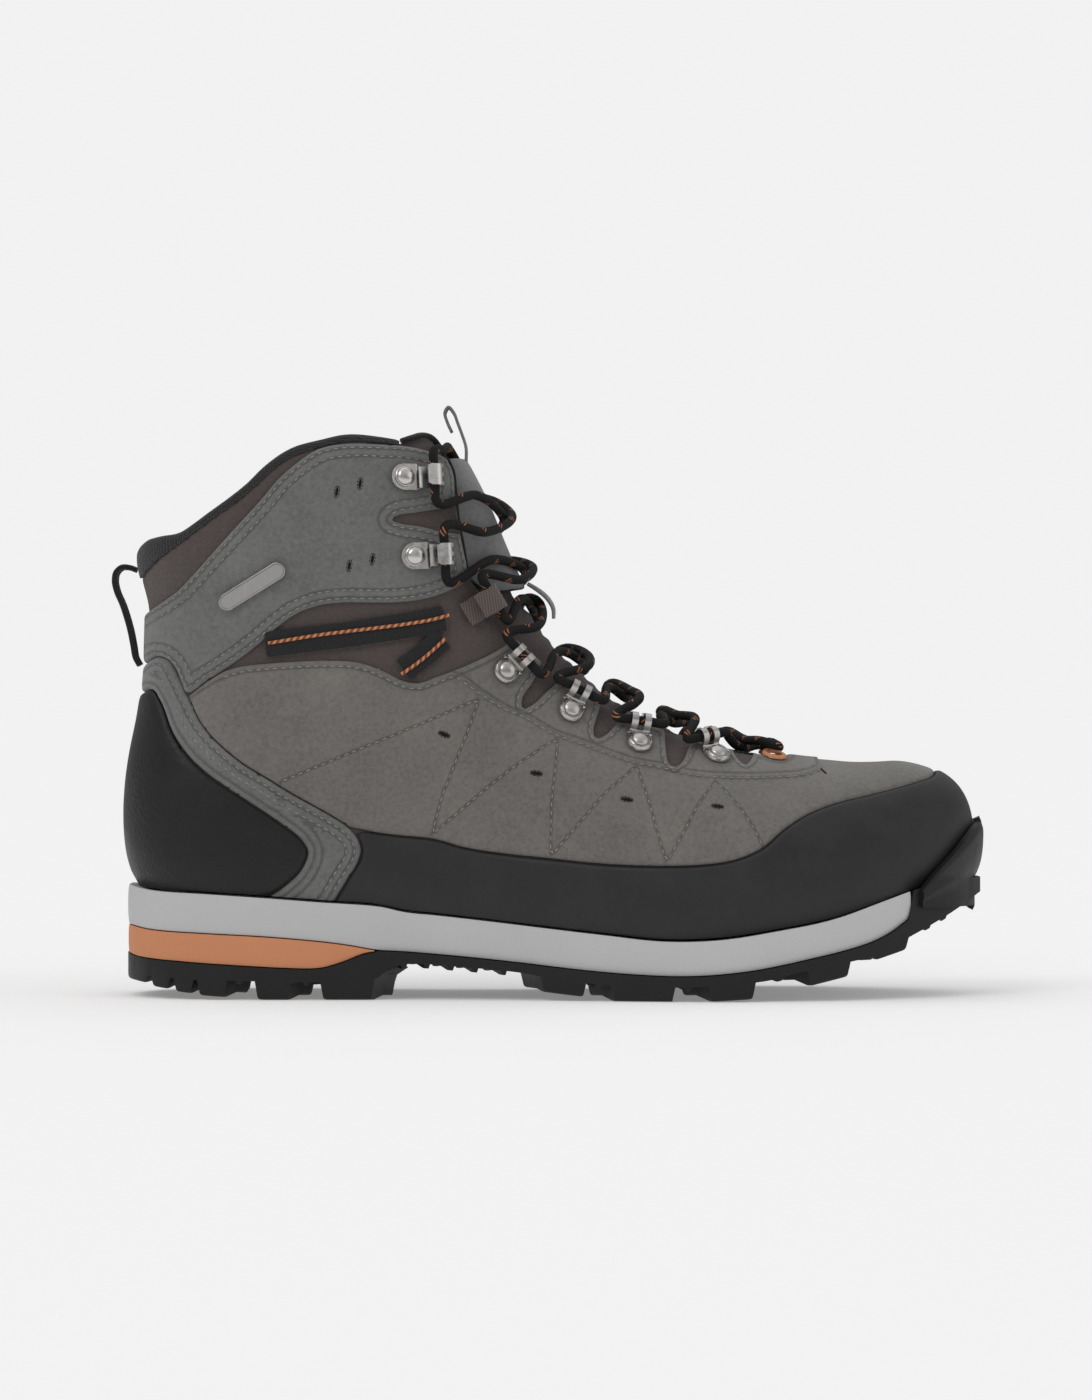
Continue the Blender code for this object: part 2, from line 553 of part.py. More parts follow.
def between_stations(table, x):
    """The height of a sole's straight run between its stations."""
    if x <= SOLE_STATIONS[0] or x >= SOLE_STATIONS[-1]:
        return smooth(table, x)
    i = max(k for k in range(len(SOLE_STATIONS) - 1) if SOLE_STATIONS[k] <= x)
    x0, x1 = SOLE_STATIONS[i : i + 2]
    t = (x - x0) / (x1 - x0)
    return smooth(table, x0) * (1 - t) + smooth(table, x1) * t


def soles(paint):
    def outsole_top(x, y):
        if x > MIDSOLE_END + 0.5:
            return feather(x) - 2 * SOLE_GAP
        return between_stations(WEDGE_LOW if x < -60 else MIDSOLE_LOW, x) - SOLE_GAP

    stations = {*edges_of_lugs(-150.2, 154.8), *SOLE_STATIONS, MIDSOLE_END + 0.4, MIDSOLE_END + 0.6}
    slab = plank(sorted(stations), sole_columns(0), outsole_top, tread)
    outsole = finish(slab, "outsole", paint["outsole"])
    bumper = finish(toe_bumper(), "toe_bumper_shape", paint["outsole"])
    boolean(outsole, bumper, "UNION")

    top = plank(SOLE_STATIONS, sole_columns(MIDSOLE_INSET), lambda x, y: smooth(MIDSOLE_TOP, x),
                lambda x, j, y: smooth(MIDSOLE_LOW, x))
    midsole = finish(top, "midsole", paint["midsole"])
    wedge = plank([x for x in SOLE_STATIONS if x <= -62], sole_columns(MIDSOLE_INSET / 2),
                  lambda x, y: smooth(MIDSOLE_LOW, x) - SOLE_GAP, lambda x, j, y: smooth(WEDGE_LOW, x))
    finish(wedge, "heel_wedge", paint["heel_wedge"])

    # The shank lies in a groove of the midsole, under the insole board.
    for name, grow in (("shank", 0.0), ("shank_groove", 0.4)):
        half, x0, x1 = 7 + grow, -92 - grow, 6 + grow
        over = 6 if grow else 0.0
        bar = plank([x0, -66, -58, -46, x1], lambda x, half=half: (-half, half),
                    lambda x, y, over=over: smooth(MIDSOLE_TOP, x) - 0.9 + over,
                    lambda x, j, y, grow=grow: smooth(MIDSOLE_TOP, x) - 2.5 - grow)
        made = finish(bar, name, paint["shank"])
        if grow:
            boolean(midsole, made, "DIFFERENCE")

    inner_sole("insole_board", paint["insole_board"], 10, (0.0, 2.0))
    inner_sole("footbed", paint["footbed"], 10, (2.3, 7.0))


def inner_sole(name, material, inset, heights):
    """A plate on the midsole, inside the lining."""
    stations = [-133.5, -131, -126, -118, -105, -90, -70, -50, -30, -10, 10, 30, 50, 70, 90, 105, 117, 126, 131]

    def columns(x):
        half = []
        for side in (OUTER, INNER):
            near = [inset * k / 5 for k in range(-5, 6)]
            half.append(min(width(side, x + dx, feather(x + dx) + 4) - math.sqrt(inset**2 - dx**2) for dx in near))
        middle = smooth(MIDDLE, x)
        return middle - half[0], middle, middle + half[1]

    made = plank(stations, columns, lambda x, y: feather(x) + heights[1], lambda x, j, y: feather(x) + heights[0])
    return finish(made, name, material)


# ---------------------------------------------------------------- hardware

# Each: a place in the side view and the direction towards the throat, in degrees.
RINGS = [((58.5, 84.2), 100), ((31.5, 89.4), 82), ((7.4, 101.4), 64), ((-14.8, 115.6), 42)]
HOOKS = [((-47.5, 155.8), 3), ((-51.6, 183.2), 3)]
EYELET = (80, 83)
LACE_TAB = (-24, 138.4)
PLATE = 1.0
CURL_INNER, CURL_WALL = 2.5, 0.8


def frame_at(surface_tree, side, x, z, angle, height):
    """A matrix whose X runs towards the throat, Y along it and Z out of the boot."""
    start = Vector((x, side * 200, z))
    point, normal, _, _ = surface_tree.ray_cast(start, Vector((0, -side, 0)))
    _, normal = place(side, x, z)
    towards = Vector((math.cos(math.radians(angle)), 0, math.sin(math.radians(angle))))
    towards = (towards - normal * towards.dot(normal)).normalized()
    along = normal.cross(towards)
    turn = Matrix((towards, along, normal)).transposed().to_4x4()
    return Matrix.Translation(point + normal * height) @ turn


def turned_disc(radius, height, dome, segments=10):
    """A button: a short cylinder with a domed top, standing on z = 0."""
    mesh = bmesh.new()
    profile = [(radius, 0), (radius, height)]
    for k in range(1, 2):
        a = k / 2 * math.pi / 2
        profile.append((radius * math.cos(a), height + dome * math.sin(a)))
    rings = [[mesh.verts.new((r * math.cos(2 * math.pi * i / segments), r * math.sin(2 * math.pi * i / segments), z))
              for i in range(segments)] for r, z in profile]
    for low, high in zip(rings, rings[1:]):
        for i in range(segments):
            j = (i + 1) % segments
            mesh.faces.new((low[i], low[j], high[j], high[i]))
    mesh.faces.new(rings[0][::-1])
    tip = mesh.verts.new((0, 0, height + dome))
    for i in range(segments):
        mesh.faces.new((rings[-1][i], rings[-1][(i + 1) % segments], tip))
    return mesh


def curled_plate(back, front, half, sweep):
    """A plate from -back to front along X that curls up and back round the lace, half wide each way."""
    centre = Vector((front, PLATE + CURL_INNER - 0.2))
    outer, inner = CURL_INNER + CURL_WALL, CURL_INNER
    angles = [-90 + sweep * k / 6 for k in range(7)]
    outline = [(-back, 0)]
    outline += [(centre.x + outer * math.cos(math.radians(a)), centre.y + outer * math.sin(math.radians(a)))
                for a in angles]
    outline += [(centre.x + inner * math.cos(math.radians(a)), centre.y + inner * math.sin(math.radians(a)))
                for a in reversed(angles)]
    outline += [(-back, PLATE)]
    mesh = bmesh.new()
    face = mesh.faces.new([mesh.verts.new((x, -half, z)) for x, z in outline])
    moved = bmesh.ops.extrude_face_region(mesh, geom=[face])
    bmesh.ops.translate(mesh, vec=(0, 2 * half, 0), verts=[v for v in moved["geom"] if isinstance(v, bmesh.types.BMVert)])
    bmesh.ops.triangulate(mesh, faces=mesh.faces)
    bmesh.ops.recalc_face_normals(mesh, faces=mesh.faces)
    return mesh


def ring_disc(outer, inner, height, segments=14):
    mesh = bmesh.new()
    loops = []
    for radius, z in ((inner, 0), (outer, 0), (outer, height * 0.6), (outer - 0.6, height), (inner, height)):
        loops.append([mesh.verts.new((radius * math.cos(2 * math.pi * i / segments),
                                      radius * math.sin(2 * math.pi * i / segments), z)) for i in range(segments)])
    for low, high in zip(loops, loops[1:] + loops[:1]):
        for i in range(segments):
            j = (i + 1) % segments
            mesh.faces.new((low[i], low[j], high[j], high[i]))
    bmesh.ops.recalc_face_normals(mesh, faces=mesh.faces)
    return mesh


def put(mesh, matrix):
    bmesh.ops.transform(mesh, matrix=matrix, verts=mesh.verts)
    return mesh


def side_name(side):
    return "outer" if side == OUTER else "inner"


def lace_hardware(tree, paint):
    """Loops, hooks and eyelets. Returns each side's rows of frames for the lace, from toe to top."""
    rows = {}
    for side in (OUTER, INNER):
        named = side_name(side)
        lifted = SUEDE[1] + 1.0
        x, z = EYELET
        eyelet = frame_at(tree, side, x, z, 90, lifted)
        finish(put(ring_disc(4.5, 2.3, 1.0), eyelet), f"eyelet_{named}", paint["eyelet"])
        rows[side] = [("eyelet", eyelet)]
        for k, ((x, z), angle) in enumerate(RINGS):
            seat = frame_at(tree, side, x, z, angle, lifted)
            curl = put(curled_plate(5.2, 6.2, 3.7, 205), seat)
            finish(curl, f"lace_ring_{named}_{k + 1}", paint["lace_ring"])
            rivet = put(turned_disc(3.4, 0.5, 1.5), seat @ Matrix.Translation((-1.2, 0, PLATE + 0.3)))
            finish(rivet, f"ring_rivet_{named}_{k + 1}", paint["rivet"])
            rows[side].append(("ring", seat @ Matrix.Translation((6.2, 0, PLATE + CURL_INNER - 0.2))))
        x, z = LACE_TAB
        tab = frame_at(tree, side, x, z, 30, 1.2)
        finish(put(fabric_loop(), tab), f"lace_tab_{named}", paint["lace_tab"])
        rows[side].append(("tab", tab @ Matrix.Translation((TAB_CENTRE, 0, TAB_HEIGHT))))
        for k, ((x, z), angle) in enumerate(HOOKS):
            seat = frame_at(tree, side, x, z, angle, lifted)
            finish(put(curled_plate(4.8, 10.2, 4.4, 175), seat), f"hook_{named}_{k + 1}", paint["hook"])
            rivet = put(turned_disc(3.4, 0.5, 1.5), seat @ Matrix.Translation((0, 0, PLATE + 0.3)))
            finish(rivet, f"hook_rivet_{named}_{k + 1}", paint["rivet"])
            rows[side].append(("hook", seat @ Matrix.Translation((10.2, 0, PLATE + CURL_INNER - 0.2))))
    return rows


TAB_CENTRE, TAB_HEIGHT, TAB_HALF = 3.6, 3.8, 4.6


def fabric_loop():
    """A flat fabric tape that folds round the lace: the side view of a long thin loop, given a width."""
    inner, wall = CURL_INNER, CURL_WALL
    outline = [(-7.5, 0.2), (TAB_CENTRE, TAB_HEIGHT - inner - wall)]
    outline += [(TAB_CENTRE + (inner + wall) * math.sin(a), TAB_HEIGHT - (inner + wall) * math.cos(a))
                for a in (math.pi * k / 6 for k in range(1, 6))]
    outline += [(TAB_CENTRE, TAB_HEIGHT + inner + wall), (-3.2, TAB_HEIGHT + 0.4), (-3.0, TAB_HEIGHT - 0.5),
                (TAB_CENTRE, TAB_HEIGHT + inner)]
    outline += [(TAB_CENTRE + inner * math.sin(a), TAB_HEIGHT - inner * math.cos(a))
                for a in (math.pi * k / 6 for k in range(5, 0, -1))]
    outline += [(TAB_CENTRE, TAB_HEIGHT - inner), (-7.5, 1.0)]
    mesh = bmesh.new()
    face = mesh.faces.new([mesh.verts.new((x, -TAB_HALF, z)) for x, z in outline])
    moved = bmesh.ops.extrude_face_region(mesh, geom=[face])
    bmesh.ops.translate(mesh, vec=(0, 2 * TAB_HALF, 0), verts=[v for v in moved["geom"] if isinstance(v, bmesh.types.BMVert)])
    bmesh.ops.triangulate(mesh, faces=mesh.faces)
    bmesh.ops.recalc_face_normals(mesh, faces=mesh.faces)
    return mesh


# Where the two runs of the lace cross in front of the tongue, from toe to top, each with the height
# of the lower run above the base surface.
CROSSINGS = [((70, 87.6), 0.4), ((45, 96.7), 0.4), ((27.5, 105.8), 0.4), ((11, 119.4), 0.4), ((-4.6, 139), -1.3),
             ((-10.5, 150.5), 2.4), ((-18.4, 169), 2.8)]
OVER = 2 * LACE_RADIUS + 0.4


def top_normal(x, z):
    """The outward direction of the front line, in the plane of symmetry."""
    near = min(range(1, len(TOP) - 1), key=lambda i: (TOP[i] - Vector((x, z))).length)
    along = (TOP[near + 1] - TOP[near - 1]).normalized()
    return Vector((along.y, 0, -along.x))


def lace_route(rows):
    """The lace from one tucked end, down one side to the eyelets, and up the other side."""
    def front(k, over):
        (x, z), low = CROSSINGS[k]
        return Vector((x, smooth(MIDDLE, x), z)) + top_normal(x, z) * (low + (OVER if over else 0))

    def halfway(seat, middle, side, part):
        """Between a loop and a crossing, clear of the edge of the throat."""
        start = seat.translation
        point = start.lerp(middle, part)
        out = Vector((0, side, 0)) * math.sin(part * math.pi) * 6 + top_normal(middle.x, middle.z) * 5 * math.sin(part * math.pi)
        return point + out

    def passing(seat, upward):
        straight = [seat @ Vector((0, y, 0)) for y in (-8.4, -3.8, 3.8, 8.4)]
        straight.sort(key=lambda p: p.z - 0.3 * p.x, reverse=not upward)
        return straight

    paths = []
    for start in (OUTER, INNER):
        points, side = [], start
        for k in range(len(CROSSINGS)):
            kind, seat = rows[side][k]
            middle = front(k, over=(start == OUTER) == (k % 2 == 0))
            points += passing(seat, True) if kind != "eyelet" else eyelet_pass(seat)
            points += [halfway(seat, middle, side, 0.55), middle]
            side = -side
            points.append(halfway(rows[side][k + 1][1], middle, side, 0.55))
        seat = rows[side][-1][1]
        points += passing(seat, True) + tail(side)
        paths.append(points)
    bar = Vector((83, smooth(MIDDLE, 83), 88.4))
    return list(reversed(paths[0])) + [bar] + paths[1]


def eyelet_pass(seat):
    """Over the eyelet."""
    return [seat @ Vector((1.5, 0, 3.9)), seat @ Vector((-1.5, 0, 3.9))]


def tail(side):
    """The end of the lace, from the top hook to its tucked place behind the tongue's front panel."""
    tucked = [(-34.9, 9.8, 194.2), (-32.8, 6, 190.6), (-29.7, 3.4, 184.2), (-26.5, 3.1, 177.4)]
    return [place(side, -39.4, 192.4, 4.2)[0]] + [Vector((x, side * y, z)) for x, y, z in tucked]


def tube(points, radius, name, material, resolution):
    """A round cord through the points, given in millimetres, with closed ends."""
    data = bpy.data.curves.new(name, "CURVE")
    data.dimensions = "3D"
    data.bevel_depth = radius * MM
    data.bevel_resolution = resolution
    data.use_fill_caps = True
    spline = data.splines.new("POLY")
    spline.points.add(len(points) - 1)
    for target, point in zip(spline.points, points):
        target.co = (*point * MM, 1)
    data.materials.append(material)
    obj = bpy.data.objects.new(name, data)
    bpy.context.scene.collection.objects.link(obj)
    return obj


AGLET = 15.0


def lace(rows, paint):
    route = lace_route(rows)
    tube(route, LACE_RADIUS, "lace", paint["lace"], 1)
    for side, end, before in ((INNER, route[0], route[1]), (OUTER, route[-1], route[-2])):
        along = (end - before).normalized()
        start = end + along * 0.4
        tube([start, start + along * AGLET], LACE_RADIUS, f"aglet_{side_name(side)}", paint["aglet"], 2)


def ribbon(rungs, heights, name, material):
    """A strip on the upper, over rungs that each give a side and two ends in the side view."""
    mesh = bmesh.new()
    rows = []
    for side, start, end in rungs:
        levels = [[], []]
        for part in (0, 0.5, 1):
            x = start[0] + (end[0] - start[0]) * part
            z = start[1] + (end[1] - start[1]) * part
            point, normal = place(side, max(x, smooth(BACK, z)), z)
            if side * point.y < 0.5 + side * smooth(MIDDLE, x):
                normal.y = 0
            for level, height in zip(levels, heights):
                level.append(point + normal * height)
        rows.append([mesh.verts.new(p) for p in levels[0] + levels[1][::-1]])
    for near, far in zip(rows, rows[1:]):
        for k in range(6):
            mesh.faces.new((near[k], far[k], far[(k + 1) % 6], near[(k + 1) % 6]))
    mesh.faces.new(rows[0])
    mesh.faces.new(rows[-1][::-1])
    bmesh.ops.triangulate(mesh, faces=mesh.faces)
    bmesh.ops.recalc_face_normals(mesh, faces=mesh.faces)
    return finish(mesh, name, material)


def rungs_across(side, path, half):
    """Rungs square to a path in the side view."""
    rungs = []
    for i, (x, z) in enumerate(path):
        a, b = path[max(i - 1, 0)], path[min(i + 1, len(path) - 1)]
        along = Vector((b[0] - a[0], b[1] - a[1])).normalized() * half
        rungs.append((side, (x + along.y, z - along.x), (x - along.y, z + along.x)))
    return rungs


# The heel stay's front edge and the heel rubber's edge, rung by rung from the sole to the back.
STAY_RUNGS = [((-78.4, 35.4), (-96.5, 38.2)), ((-74.8, 39), (-90.5, 42)), ((-71.5, 44), (-86.3, 45.9)),
              ((-68.6, 48.2), (-83.4, 48.8)), ((-67.2, 53), (-82.9, 52.2)), ((-69.4, 57.6), (-85.4, 56.4)),
              ((-76.7, 62.8), (-91.2, 60.4)), ((-84.9, 67.4), (-99.2, 65.8)), ((-93, 71.9), (-109.2, 72.3)),
              ((-101, 77), (-118.9, 79.3)), ((-112.9, 85), (-124, 83.6)), ((-122.4, 94.8), (-130.5, 93.6)),
              ((-127.4, 104.6), (-135.2, 105)), ((-131.9, 113), (-137.4, 110.2)), ((-136.4, 118.4), (-140.6, 109.7)),
              ((-140.2, 117.5), (-142.4, 108.9))]
BACK_RUNG = ((-143.4, 115), (-144, 108.6))


def heel_stay(paint):
    rungs = [(OUTER, a, b) for a, b in STAY_RUNGS] + [(OUTER, *BACK_RUNG)]
    rungs += [(INNER, a, b) for a, b in STAY_RUNGS[::-1]]
    ribbon(rungs, (0.9, 2.0), "heel_stay", paint["heel_stay"])


UPPER_STRAP = [(-97, 125), (-85, 126.3), (-72, 128), (-60, 129.8), (-48, 131.6), (-38, 133.6)]
LOWER_STRAP = [(-48.5, 117.2), (-43, 121.5), (-38.5, 126.5)]


def straps(paint):
    for side in (OUTER, INNER):
        named = side_name(side)
        ribbon(rungs_across(side, UPPER_STRAP, 3.9), WEBBING, f"upper_strap_{named}", paint["webbing"])
        ribbon(rungs_across(side, LOWER_STRAP, 2.6), WEBBING, f"lower_strap_{named}", paint["webbing"])


BADGE, BADGE_ANGLE, BADGE_HALF = (-103.7, 145.5), 32, (13.4, 3.1)
HEEL_LOOP = [(-149.6, 152.6), (-152.6, 152.8), (-154.6, 150.9), (-155.1, 148.2), (-154.4, 144.5), (-152.4, 139.8),
             (-150.8, 135), (-149.4, 129.8), (-148.4, 124.6), (-148, 120)]
HEEL_LOOP_AXIS, HEEL_LOOP_HALF = ((-147.6, 0, 136), (-146.4, 0, 118)), 6.0


def tape(profile, half, thick, name, material, crown=0.0, taper=0.0):
    """A tape across the boot: its side view's line, given a thickness and a width along Y.

    The crown is the radius by which the tape's edges fall back round the shaft.
    """
    mesh = bmesh.new()
    rows = []
    for i, point in enumerate(profile):
        before, after = profile[max(i - 1, 0)], profile[min(i + 1, len(profile) - 1)]
        along = (after - before).normalized()
        out = Vector((-along.y, along.x)) * thick / 2
        narrow = half * (1 - taper * abs(2 * i / (len(profile) - 1) - 1) ** 4)
        inward = Vector((-along.y, along.x)) * (-1 if along.y > 0 else 1) if crown else out
        row = []
        for across in (-1, -0.5, 0, 0.5, 1) if crown else (-1, 1):
            y = across * narrow
            back = inward.normalized() * -crown * (1 - math.sqrt(1 - (y / 38) ** 2))
            row.append((point + back, y))
        ring = [(p + out, y) for p, y in row] + [(p - out, y) for p, y in reversed(row)]
        rows.append([mesh.verts.new((p.x, y, p.y)) for p, y in ring])
    for near, far in zip(rows, rows[1:]):
        for k in range(len(near)):
            mesh.faces.new((near[k], far[k], far[(k + 1) % len(near)], near[(k + 1) % len(near)]))
    mesh.faces.new(rows[0])
    mesh.faces.new(rows[-1][::-1])
    bmesh.ops.triangulate(mesh, faces=mesh.faces)
    bmesh.ops.recalc_face_normals(mesh, faces=mesh.faces)
    return finish(mesh, name, material)


def hang_on(obj, name, pivot):
    """Parents the object to an empty at its hinge, with its own origin there too."""
    hinge = bpy.data.objects.new(name, None)
    hinge.location = pivot
    bpy.context.scene.collection.objects.link(hinge)
    obj.data.transform(Matrix.Translation(-Vector(pivot)))
    obj.parent = hinge


def trim(tree, paint):
    """The badge and the pull loop at the heel."""
    x, z = BADGE
    seat = frame_at(tree, OUTER, x, z, BADGE_ANGLE, SUEDE[1] + 0.5)
    long, wide = BADGE_HALF
    outline = [(long - wide + wide * math.cos(a), wide * math.sin(a)) for a in (math.pi * (k / 6 - 0.5) for k in range(7))]
    outline += [(-px, -py) for px, py in outline]
    mesh = bmesh.new()
    face = mesh.faces.new([mesh.verts.new((px, py, 0)) for px, py in outline])
    moved = bmesh.ops.extrude_face_region(mesh, geom=[face])
    top = [v for v in moved["geom"] if isinstance(v, bmesh.types.BMVert)]
    bmesh.ops.translate(mesh, vec=(0, 0, 1.0), verts=top)
    bmesh.ops.recalc_face_normals(mesh, faces=mesh.faces)
    finish(put(mesh, seat), "badge_plate", paint["badge"])

    loop = tape(through(HEEL_LOOP, 2), HEEL_LOOP_HALF, 1.5, "heel_pull_loop", paint["webbing"], taper=0.25)
    hang_on(loop, "heel_loop_hinge", Vector(HEEL_LOOP_AXIS[0]) * MM)


TONGUE_LOOP = [(-29.3, 192.6), (-29.4, 196), (-30.8, 200.5), (-32.3, 204.5), (-34, 208.6), (-35.6, 210.2), (-36.9, 208.3),
               (-36.2, 205.2), (-34.5, 201.4)]
TONGUE_LOOP_HINGE = (-29.2, 0, 191.6)
TONGUE_LOOP_HALF, TONGUE_FACE_HALF, KEEPER_HALF, CROWN = 6.5, 12.0, 7.0, 50.0
TONGUE_FACE = [(-28.6, 190.5), (-25.6, 184.6), (-22, 177), (-18.5, 169.2), (-14.5, 159.6), (-11.2, 151.8), (-8.8, 146.8)]
KEEPER = [(-7.2, 147.2), (-3.6, 144.8), (-0.2, 141.8), (1.9, 138.2), (2.2, 134.6)]


def tongue_trim(paint):
    """The tongue's front panel, the flap over the lace below it, and the loop on its top."""
    face = through([(x - 0.5, z - 0.2) for x, z in TONGUE_FACE], 2)
    tape(face, TONGUE_FACE_HALF, 0.8, "tongue_face", paint["tongue_face"], crown=CROWN)
    tape(through(KEEPER, 2), KEEPER_HALF, 0.8, "tongue_lace_keeper", paint["tongue_face"], crown=CROWN / 2)
    loop = tape(through(TONGUE_LOOP, 2), TONGUE_LOOP_HALF, 1.0, "tongue_pull_loop", paint["tongue_face"])
    hang_on(loop, "tongue_loop_hinge", Vector(TONGUE_LOOP_HINGE) * MM)


def main():
    for obj in list(bpy.data.objects):
        bpy.data.objects.remove(obj)
    paint = materials()
    base = base_surface()
    tree = BVHTree.FromBMesh(base)
    outer_layer(base, paint)
    inner_layers(base, paint)
    soles(paint)
    heel_stay(paint)
    straps(paint)
    trim(tree, paint)
    tongue_trim(paint)
    rows = lace_hardware(tree, paint)
    lace(rows, paint)


def materials():
    """One Principled material for each kind of piece: colour, roughness, metallic."""
    looks = {"outsole": ((0.018, 0.018, 0.019), 0.8, 0), "midsole": ((0.52, 0.52, 0.53), 0.75, 0),
             "heel_wedge": ((0.60, 0.25, 0.12), 0.7, 0), "shank": ((0.35, 0.35, 0.36), 0.4, 1),
             "insole_board": ((0.45, 0.36, 0.25), 0.9, 0), "footbed": ((0.05, 0.05, 0.055), 0.95, 0),
             "rand": ((0.03, 0.03, 0.032), 0.6, 0), "heel_rubber": ((0.018, 0.018, 0.02), 0.55, 0),
             "heel_stay": ((0.16, 0.155, 0.15), 0.95, 0), "lower_suede": ((0.16, 0.15, 0.14), 0.95, 0),
             "cuff_suede": ((0.15, 0.15, 0.145), 0.95, 0), "textile_shell": ((0.10, 0.078, 0.072), 0.9, 0),
             "collar_lining": ((0.02, 0.02, 0.022), 0.95, 0), "toe_puff": ((0.5, 0.48, 0.42), 0.7, 0),
             "heel_stiffener": ((0.5, 0.48, 0.42), 0.7, 0), "tongue": ((0.10, 0.078, 0.072), 0.9, 0),
             "tongue_face": ((0.15, 0.15, 0.145), 0.95, 0), "webbing": ((0.015, 0.015, 0.017), 0.85, 0),
             "badge": ((0.45, 0.45, 0.46), 0.35, 1), "hook": ((0.55, 0.54, 0.53), 0.3, 1),
             "lace_ring": ((0.55, 0.54, 0.53), 0.3, 1), "rivet": ((0.6, 0.58, 0.57), 0.25, 1),
             "eyelet": ((0.60, 0.25, 0.12), 0.5, 0), "lace_tab": ((0.10, 0.078, 0.072), 0.9, 0),
             "lace": ((0.02, 0.02, 0.022), 0.85, 0), "aglet": ((0.02, 0.02, 0.02), 0.3, 0)}
    made = {}
    for name, (colour, roughness, metallic) in looks.items():
        made[name] = bpy.data.materials.new(name)
        made[name].use_nodes = True
        shader = made[name].node_tree.nodes["Principled BSDF"]
        shader.inputs["Base Color"].default_value = (*colour, 1)
        shader.inputs["Roughness"].default_value = roughness
        shader.inputs["Metallic"].default_value = metallic
    return made


main()
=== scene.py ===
import math

import bmesh
import bpy
import numpy as np
from mathutils import Matrix, Vector


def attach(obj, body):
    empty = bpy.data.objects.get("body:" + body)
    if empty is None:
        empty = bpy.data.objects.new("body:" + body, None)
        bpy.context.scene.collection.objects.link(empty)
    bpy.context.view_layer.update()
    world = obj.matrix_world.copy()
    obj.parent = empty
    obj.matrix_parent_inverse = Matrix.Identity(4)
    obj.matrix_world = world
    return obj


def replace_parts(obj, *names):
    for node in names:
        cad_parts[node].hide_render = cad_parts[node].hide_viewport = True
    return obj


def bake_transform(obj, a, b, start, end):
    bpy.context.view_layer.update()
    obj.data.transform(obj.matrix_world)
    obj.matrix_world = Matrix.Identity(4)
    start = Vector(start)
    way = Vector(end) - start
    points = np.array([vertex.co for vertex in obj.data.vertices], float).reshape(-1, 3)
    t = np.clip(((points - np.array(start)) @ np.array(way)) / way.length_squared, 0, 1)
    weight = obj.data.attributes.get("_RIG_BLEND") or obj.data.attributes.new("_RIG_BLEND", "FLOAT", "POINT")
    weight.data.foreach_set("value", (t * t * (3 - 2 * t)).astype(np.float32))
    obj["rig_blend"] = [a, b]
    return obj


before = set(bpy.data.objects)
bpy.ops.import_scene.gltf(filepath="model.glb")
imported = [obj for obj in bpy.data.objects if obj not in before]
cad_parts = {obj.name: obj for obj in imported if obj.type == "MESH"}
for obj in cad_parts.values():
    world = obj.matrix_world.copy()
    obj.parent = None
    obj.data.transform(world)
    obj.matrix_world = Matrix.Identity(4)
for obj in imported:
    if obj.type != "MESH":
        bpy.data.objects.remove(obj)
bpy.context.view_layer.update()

# A right hiking boot. X runs from heel to toe, Z up, and the outer side is at -Y.
# Lengths are millimetres until a mesh is finished.
mm = 0.001
outer, inner = -1, 1
sides = {"outer": outer, "inner": inner}

# curves and fields in the side view

readyTables = {}  # each table as an array, made once


def curveAt(table, x):
    # a smooth curve through the table's (x, value) pairs, for one x or many
    if id(table) not in readyTables:
        readyTables[id(table)] = (table, np.array(table, float))
    xs, ys = readyTables[id(table)][1].T
    x = np.clip(np.asarray(x, float), xs[0], xs[-1])
    i = np.clip(np.searchsorted(xs, x, side="right") - 1, 0, len(xs) - 2)
    before, after = np.maximum(i - 1, 0), np.minimum(i + 2, len(xs) - 1)
    step = xs[i + 1] - xs[i]
    slope0 = (ys[i + 1] - ys[before]) / (xs[i + 1] - xs[before]) * step
    slope1 = (ys[after] - ys[i]) / (xs[after] - xs[i]) * step
    t = (x - xs[i]) / step
    return (ys[i] * (2 * t**3 - 3 * t**2 + 1) + slope0 * (t**3 - 2 * t**2 + t)
            + ys[i + 1] * (3 * t**2 - 2 * t**3) + slope1 * (t**3 - t**2))


def through(points, per=6):
    # points along a smooth curve through the given ones
    points = [Vector(p) for p in points]
    spans = [(b - a).length for a, b in zip(points, points[1:])]
    slopes = [(points[1] - points[0]) / spans[0]]
    for i in range(1, len(points) - 1):
        arriving = (points[i] - points[i - 1]) / spans[i - 1]
        leaving = (points[i + 1] - points[i]) / spans[i]
        slopes.append((arriving * spans[i] + leaving * spans[i - 1]) / (spans[i - 1] + spans[i]))
    slopes.append((points[-1] - points[-2]) / spans[-1])
    found = []
    for i, span in enumerate(spans):
        for k in range(per):
            t = k / per
            found.append(points[i] * (2 * t**3 - 3 * t**2 + 1) + slopes[i] * (t**3 - 2 * t**2 + t) * span
                         + points[i + 1] * (3 * t**2 - 2 * t**3) + slopes[i + 1] * (t**3 - t**2) * span)
    return found + [points[-1]]


def evenly(path, step):
    # the same path with a point every step
    path = [Vector(p) for p in path]
    lengths = np.cumsum([0] + [(b - a).length for a, b in zip(path, path[1:])])
    count = max(int(round(lengths[-1] / step)), 1)
    values = np.array([p[:] for p in path])
    at = np.linspace(0, lengths[-1], count + 1)
    return [Vector(p) for p in zip(*[np.interp(at, lengths, values[:, k]) for k in range(values.shape[1])])]


def directionAt(path, k):
    return (path[min(k + 1, len(path) - 1)] - path[max(k - 1, 0)]).normalized()


